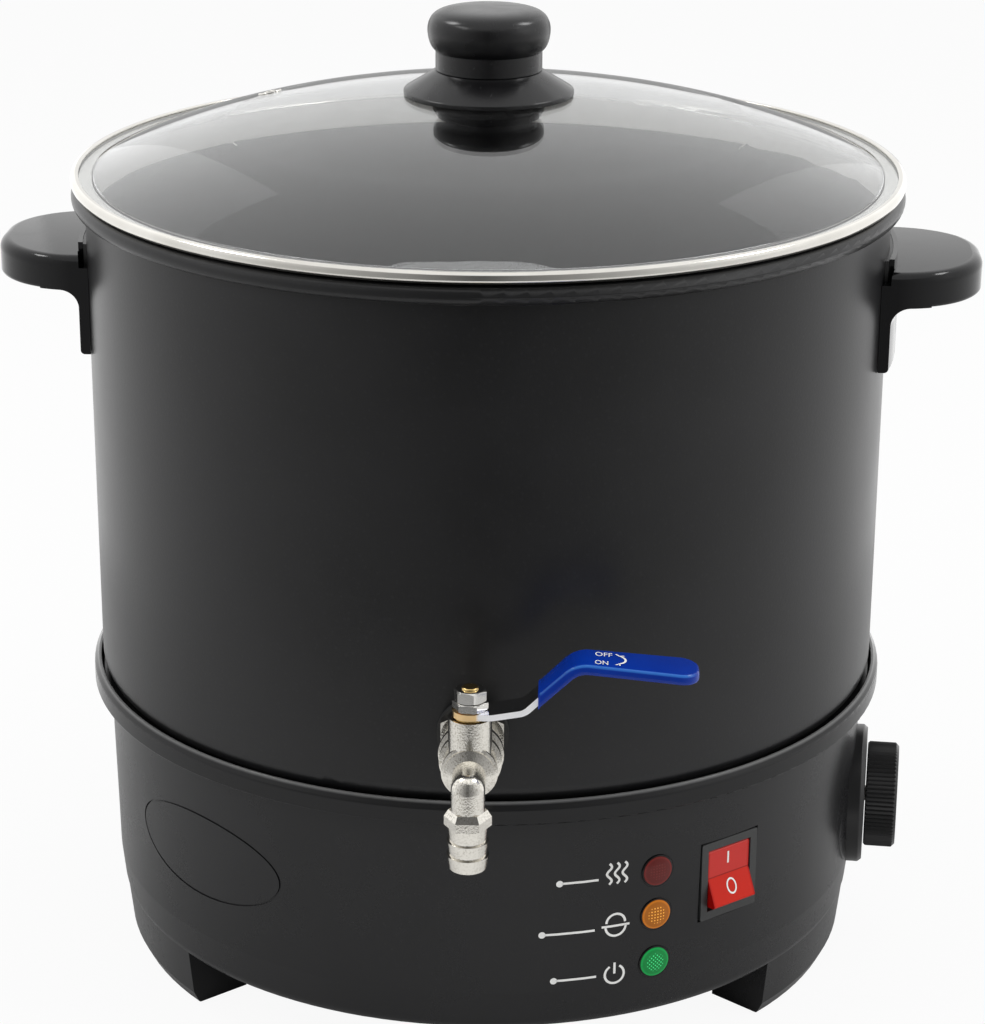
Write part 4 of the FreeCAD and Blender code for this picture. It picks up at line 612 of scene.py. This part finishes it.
def gloss(name, colour, smooth, dull, **constants):
    """Glossy moulding with smears and hair scratches in its polish."""
    scratch_lift, scratch_haze, scratch_share = 1.5, 0.004, 0.5
    material, tree, shader = finish(name, colour, smooth, **constants)
    wear = use(tree, smear)
    skin = use(tree, grain, Grain_Size=0.0012)
    pale = tuple(min(1.0, part * scratch_lift + scratch_haze) for part in colour)
    scratches = work(tree, "MULTIPLY", wear["Scratch"], scratch_share)
    feed(tree, tint(tree, scratches, colour, pale), shader["Base Color"])
    worn = work(tree, "MAXIMUM", wear["Smear"], wear["Scratch"])
    feed(tree, span(tree, worn, 0.0, 1.0, smooth, dull), shader["Roughness"])
    relief(tree, shader, skin["Height"], 0.00002)
    return material


handle_black = gloss("handle_black", colour=(0.003, 0.003, 0.0035), smooth=0.08, dull=0.17,
                     Specular_IOR_Level=0.33)
bracket_black = moulded("bracket_coating", dark=(0.010, 0.010, 0.0105),
                        pale=(0.016, 0.016, 0.0165), smooth=0.3, rough=0.4,
                        grain_size=0.0008, depth=0.00002)
dress(handle_black, "right_handle", "left_handle")
dress(bracket_black, "right_handle_bracket", "left_handle_bracket")
dress(fastener_steel, "handle_screws")

# ---- Drain tap
# A nickel-plated brass ball tap: cast body with turned rings, a hexagon tailpiece that clamps
# the wall between gaskets, and a screwed hose barb. The cast skin shows as grey speckle.
ptfe = moulded("ptfe", dark=(0.78, 0.78, 0.75), pale=(0.86, 0.86, 0.84), smooth=0.35,
               rough=0.45, grain_size=0.0007, depth=0.00001)
dress(nickel, "tap_tailpiece", "tap_body", "hose_barb", "tap_lock_nut", "tap_ball")
dress(black_rubber, "tap_gasket", "tap_inner_gasket")
dress(fastener_steel, "tap_washer")
dress(brass, "packing_nut", "tap_stem")
dress(ptfe, "tap_seats", "stem_packing")

# ---- Lever, its nuts and its grip
# A cranked zinc-plated strip on the stem's flats, between a thin nut and a top nut. A royal
# blue vinyl sleeve is dipped over it, with the two ends of its travel printed on top.


def facing(tree):
    """The way that the surface faces, along the model's three axes."""
    return axes(tree, add(tree, "TexCoord").outputs["Normal"])


def word(marks, text, corner, wide, tall):
    """A printed word with its lower left corner in place."""
    outline = bpy.data.curves.new(text, "FONT")
    outline.body = text
    outline.resolution_u = 6
    carrier = bpy.data.objects.new(text, outline)
    flat = bpy.data.meshes.new_from_object(carrier)
    low = Vector([min(v.co[i] for v in flat.vertices) for i in range(3)])
    high = Vector([max(v.co[i] for v in flat.vertices) for i in range(3)])
    fit = Matrix.Diagonal((wide / (high.x - low.x), tall / (high.y - low.y), 1, 1))
    flat.transform(Matrix.Translation((corner[0], corner[1], 0)) @ fit @ Matrix.Translation(-low))
    marks.from_mesh(flat)
    bpy.data.objects.remove(carrier)
    bpy.data.curves.remove(outline)
    bpy.data.meshes.remove(flat)


nut_plate = sheet("nut_plate", clean=(0.80, 0.79, 0.76), dull=(0.62, 0.60, 0.56), smooth=0.12,
                  rough=0.24, line_size=0.0005, depth=0.00001)
lever_zinc, tree, shader = finish("lever_zinc", (0.86, 0.86, 0.84), 0.3, Metallic=1.0)
skin = use(tree, rolled, Line_Size=0.0005)
# The strip's edges facing front and back are painted near white, duller and less metallic: partly
# the bare sheared edge, partly a painted sheen for their bright highlight.
sheared_edge_sheen = span(tree, work(tree, "ABSOLUTE", facing(tree)["Y"]), 0.6, 0.8)
hub = span(tree, axes(tree, here(tree))["X"], 0.002, 0.003, 1.0, 0.0)
plain = tint(tree, skin["Stain"], (0.88, 0.88, 0.87), (0.80, 0.80, 0.79))
plain = tint(tree, sheared_edge_sheen, plain, (0.93, 0.93, 0.95))
feed(tree, tint(tree, hub, plain, (0.80, 0.56, 0.28)), shader["Base Color"])
feed(tree, span(tree, sheared_edge_sheen, 0.0, 1.0, 0.08, 0.5), shader["Roughness"])
feed(tree, span(tree, sheared_edge_sheen, 0.0, 1.0, 1.0, 0.35), shader["Metallic"])
relief(tree, shader, skin["Lines"], 0.00001)
dress(nut_plate, "lever_jam_nut", "lever_nut")
dress(lever_zinc, "tap_lever")

blue_vinyl, tree, shader = finish("blue_vinyl", (0.004, 0.040, 0.30), 0.22, Coat_Weight=0.15,
                                  Coat_Roughness=0.05, Specular_IOR_Level=0.2)
skin = use(tree, grain, Grain_Size=0.0011, Cloud_Size=0.02)
# The sleeve's edges that face up and to the front and back are painted a paler blue: a painted
# highlight.
faces = facing(tree)
corner = work(tree, "MULTIPLY", work(tree, "ABSOLUTE", faces["Y"]), faces["Z"])
painted_edge_highlight = span(tree, corner, 0.2, 0.42, 0.0, 0.7)
dipped = tint(tree, skin["Cloud"], (0.0012, 0.024, 0.25), (0.0018, 0.031, 0.30))
feed(tree, tint(tree, painted_edge_highlight, dipped, (0.03, 0.16, 0.52)), shader["Base Color"])
feed(tree, span(tree, skin["Cloud"], 0.0, 1.0, 0.14, 0.2), shader["Roughness"])
relief(tree, shader, skin["Height"], 0.00003)
rounding, mouth, weld, clean = 0.0012, 0.0235, 0.00001, 0.00002
sleeve_form = bmesh.new()
sleeve_form.from_mesh(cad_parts["lever_grip"].data)
bmesh.ops.remove_doubles(sleeve_form, verts=sleeve_form.verts, dist=weld)
bmesh.ops.dissolve_limit(sleeve_form, angle_limit=math.radians(1.0), verts=sleeve_form.verts,
                         edges=sleeve_form.edges)
corners = [e for e in sleeve_form.edges
           if len(e.link_faces) == 2 and e.calc_face_angle_signed() > math.radians(50)
           and min(e.verts[0].co.x, e.verts[1].co.x) > mouth]
bmesh.ops.bevel(sleeve_form, geom=corners, offset=rounding, segments=4, profile=0.5,
                affect="EDGES", clamp_overlap=False)
bmesh.ops.remove_doubles(sleeve_form, verts=sleeve_form.verts, dist=clean)
bmesh.ops.dissolve_degenerate(sleeve_form, edges=sleeve_form.edges, dist=weld)
sleeve = bpy.data.meshes.new("vinyl_sleeve")
sleeve_form.to_mesh(sleeve)
sleeve_form.free()
sleeve.shade_smooth()
sleeve.set_sharp_from_angle(angle=math.radians(40))
sleeve.materials.append(blue_vinyl)
grip = bpy.data.objects.new("vinyl_sleeve", sleeve)
scene.collection.objects.link(grip)
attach(grip, "tap_valve")
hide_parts("lever_grip")
grip_marks = bmesh.new()
word(grip_marks, "OFF", corner=(42.0, 1.5), wide=5.7, tall=3.3)
word(grip_marks, "ON", corner=(41.9, -5.6), wide=4.4, tall=3.3)
stroke(grip_marks, arc((48.6, -0.3), 3.6, 60, -62), 0.75)
stroke(grip_marks, [(48.9, 4.4), (50.1, 3.0), (51.8, 3.4)], 0.6)
stroke(grip_marks, [(48.9, -4.9), (50.2, -3.4), (50.2, -5.2)], 0.6)
lay_print("grip_marks", grip_marks, Matrix.Translation((0, -0.18, 0.2)), grip, "tap_valve")

# ---- Lid
# Tempered glass dome in a rolled stainless band, with a steel-lined steam hole. The knob is
# phenolic on a wide skirt, held by one screw from below.
lid_glass, tree, shader = finish("lid_glass", (0.95, 0.965, 0.97), 0.0,
                                 Transmission_Weight=1.0, IOR=1.5)
skin = use(tree, smear, Smear_Size=0.05)
feed(tree, tint(tree, work(tree, "MULTIPLY", skin["Smear"], 0.2), (0.955, 0.967, 0.97),
                (0.925, 0.94, 0.945)), shader["Base Color"])
feed(tree, span(tree, skin["Smear"], 0.0, 1.0, 0.0, 0.012), shader["Roughness"])
band_steel, tree, shader = finish("band_steel", (0.82, 0.79, 0.73), 0.1)
skin = use(tree, rolled, Line_Size=0.0006)
point = axes(tree, here(tree))
radius = from_axis(tree, point["X"], point["Y"])
satin = work(tree, "MULTIPLY", span(tree, radius, 0.1484, 0.1490, 1.0, 0.0),
             span(tree, radius, 0.12, 0.13))
feed(tree, tint(tree, skin["Stain"], (0.84, 0.82, 0.77), (0.74, 0.72, 0.67)),
     shader["Base Color"])
feed(tree, span(tree, satin, 0.0, 1.0, 0.12, 0.5), shader["Roughness"])
feed(tree, span(tree, satin, 0.0, 1.0, 1.0, 0.25), shader["Metallic"])
knob_black = gloss("knob_black", colour=(0.005, 0.005, 0.0055), smooth=0.20, dull=0.28,
                   Specular_IOR_Level=0.4)
dress(lid_glass, "lid_glass")
dress(band_steel, "vent_grommet")
dress(knob_black, "lid_knob_skirt", "knob_under_washer")
dress(fastener_steel, "knob_screw")


def turned(name, outline, base, material, node):
    """A turned piece of the lid from its closed outline, in millimetres above a base height."""
    sides, axis_reach = 288, 0.001
    spun = bmesh.new()
    rings = []
    for radius, z in outline:
        if radius < axis_reach:
            rings.append([spun.verts.new((0, 0, base + z / 1000))] * sides)
            continue
        rings.append([spun.verts.new((radius / 1000 * math.cos(math.tau * i / sides),
                                      radius / 1000 * math.sin(math.tau * i / sides),
                                      base + z / 1000)) for i in range(sides)])
    for near, far in zip(rings, rings[1:] + rings[:1]):
        for i in range(sides):
            around = (near[i], near[(i + 1) % sides], far[(i + 1) % sides], far[i])
            corners = list(dict.fromkeys(around))
            if len(corners) > 2:
                spun.faces.new(corners)
    bmesh.ops.recalc_face_normals(spun, faces=spun.faces)
    mesh = bpy.data.meshes.new(name)
    spun.to_mesh(mesh)
    spun.free()
    mesh.shade_smooth()
    mesh.set_sharp_from_angle(angle=math.radians(35))
    mesh.materials.append(material)
    piece = bpy.data.objects.new(name, mesh)
    scene.collection.objects.link(piece)
    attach(piece, "lid")
    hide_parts(node)


def flowing(points, between=6):
    """Points on a smooth curve through a few given points."""
    path = []
    last = len(points) - 1
    for i in range(last):
        a, b, c, d = (Vector(points[min(max(i + k, 0), last)]) for k in (-1, 0, 1, 2))
        for step in range(between):
            t = step / between
            path.append(0.5 * (2 * b + (c - a) * t + (2 * a - 5 * b + 4 * c - d) * t ** 2
                               + (3 * b - a - 3 * c + d) * t ** 3))
    return path + [Vector(points[-1])]


rolled_edge = flowing([(154.0, 4.0), (154.0, 4.5), (154.5, 4.7), (155.6, 4.65), (156.5, 4.1),
                       (157.0, 3.0), (156.9, 1.9), (156.3, 1.1), (155.4, 0.4), (154.0, 0.0)])
lip_and_lap = [(149.6, 0.0), (149.1, -0.5), (149.1, -11.2), (148.75, -11.5), (148.4, -11.2),
               (148.4, 0.7), (154.8, 0.7), (156.1, 2.0), (156.1, 3.2), (155.3, 4.0)]
turned("rolled_band", [*rolled_edge, *lip_and_lap], 0.3053, band_steel,
       "lid_band")
neck = [(0.0, 0.0), (19.6, 0.0), (20.0, 0.4), (20.0, 4.0)]
ball = flowing([(20.0, 7.4), (20.9, 8.3), (21.8, 9.6), (22.5, 11.6), (22.95, 14.2),
                (22.9, 16.4), (22.35, 18.4), (21.1, 20.4), (18.8, 21.9), (15.0, 22.8),
                (9.0, 23.15), (0.0, 23.2)])
turned("turned_knob", [*neck, *ball], 0.34576, knob_black, "lid_knob")

# ---- Floor, light and a curved card
# A pale floor, three large soft lamps, two small ones and an even white surround. The card,
# seen only by reflections, is black in front and pale at the sides, so round black walls
# shade off and bare metal gets its dark streaks.
mesh = bpy.data.meshes.new("floor")
mesh.from_pydata([(-12, -12, 0), (12, -12, 0), (12, 12, 0), (-12, 12, 0)], [], [(0, 1, 2, 3)])
floor = bpy.data.objects.new("floor", mesh)
scene.collection.objects.link(floor)
floor_white = 0.93
pale, tree, shader = finish("floor", (0.6, 0.6, 0.6), 0.9, Specular_IOR_Level=0.1)
lit = add(tree, "Emission", Color=(1, 1, 1, 1), Strength=1.0).outputs[0]
seen = work(tree, "MULTIPLY", add(tree, "LightPath").outputs["Is Camera Ray"], floor_white)
both = add(tree, "MixShader")
for value, socket in zip((seen, tree.nodes["Principled BSDF"].outputs[0], lit), both.inputs):
    feed(tree, value, socket)
feed(tree, both.outputs[0], tree.nodes["Material Output"].inputs["Surface"])
mesh.materials.append(pale)

surround = bpy.data.worlds.new("surround")
surround.use_nodes = True
scene.world = surround
tree = surround.node_tree
rays = add(tree, "LightPath").outputs
white = work(tree, "MAXIMUM", rays["Is Camera Ray"],
             work(tree, "MAXIMUM", rays["Is Glossy Ray"], rays["Is Transmission Ray"]))
feed(tree, (1, 1, 1, 1), tree.nodes["Background"].inputs["Color"])
feed(tree, span(tree, white, 0.0, 1.0, 0.55), tree.nodes["Background"].inputs["Strength"])


def soft_lamp(name, place, size, power):
    """A square soft lamp aimed at the pot."""
    data = bpy.data.lights.new(name, "AREA")
    data.shape = "SQUARE"
    data.size = size
    data.energy = power
    lamp = bpy.data.objects.new(name, data)
    lamp.location = place
    aim = Vector((0, 0, 0.15)) - Vector(place)
    lamp.rotation_euler = aim.to_track_quat("-Z", "Y").to_euler()
    scene.collection.objects.link(lamp)


soft_lamp("left_lamp", place=(-1.7, -0.9, 1.5), size=1.1, power=16.0)
soft_lamp("right_lamp", place=(1.8, -0.5, 1.2), size=1.1, power=18.0)
soft_lamp("top_lamp", place=(0.0, 0.3, 2.2), size=1.2, power=14.0)
bpy.data.objects["top_lamp"].visible_glossy = False
soft_lamp("left_box", place=(-1.0, 0.3, 1.5), size=0.42, power=5.0)
soft_lamp("right_box", place=(1.0, 0.3, 1.5), size=0.42, power=5.0)

card_radius, card_height, card_end, card_step = 0.5, 0.75, 150, 3
card_mesh = bmesh.new()
columns = []
for azimuth in range(-card_end, card_end + 1, card_step):
    angle = math.radians(azimuth)
    columns.append([card_mesh.verts.new((card_radius * math.sin(angle),
                                         -card_radius * math.cos(angle), z))
                    for z in (0.0, card_height)])
for (a, b), (c, d) in zip(columns, columns[1:]):
    card_mesh.faces.new((a, b, d, c))
mesh = bpy.data.meshes.new("dark_card")
card_mesh.to_mesh(mesh)
card_mesh.free()
card = bpy.data.objects.new("dark_card", mesh)
scene.collection.objects.link(card)
shaded = bpy.data.materials.new("dark_card")
shaded.use_nodes = True
tree = shaded.node_tree
point = axes(tree, here(tree))
side = work(tree, "ABSOLUTE", work(tree, "ARCTAN2", point["X"],
                                   work(tree, "MULTIPLY", point["Y"], -1.0)))
pale_sides = span(tree, side, 0.0, 1.57, 0.1)
pale_back = span(tree, side, 1.57, 2.6, 0.0, 0.3)
glow = add(tree, "Emission", Color=(1, 1, 1, 1),
           Strength=work(tree, "ADD", pale_sides, pale_back)).outputs[0]
feed(tree, glow, tree.nodes["Material Output"].inputs["Surface"])
mesh.materials.append(shaded)
for sight in ("visible_camera", "visible_diffuse", "visible_transmission", "visible_shadow"):
    setattr(card, sight, False)
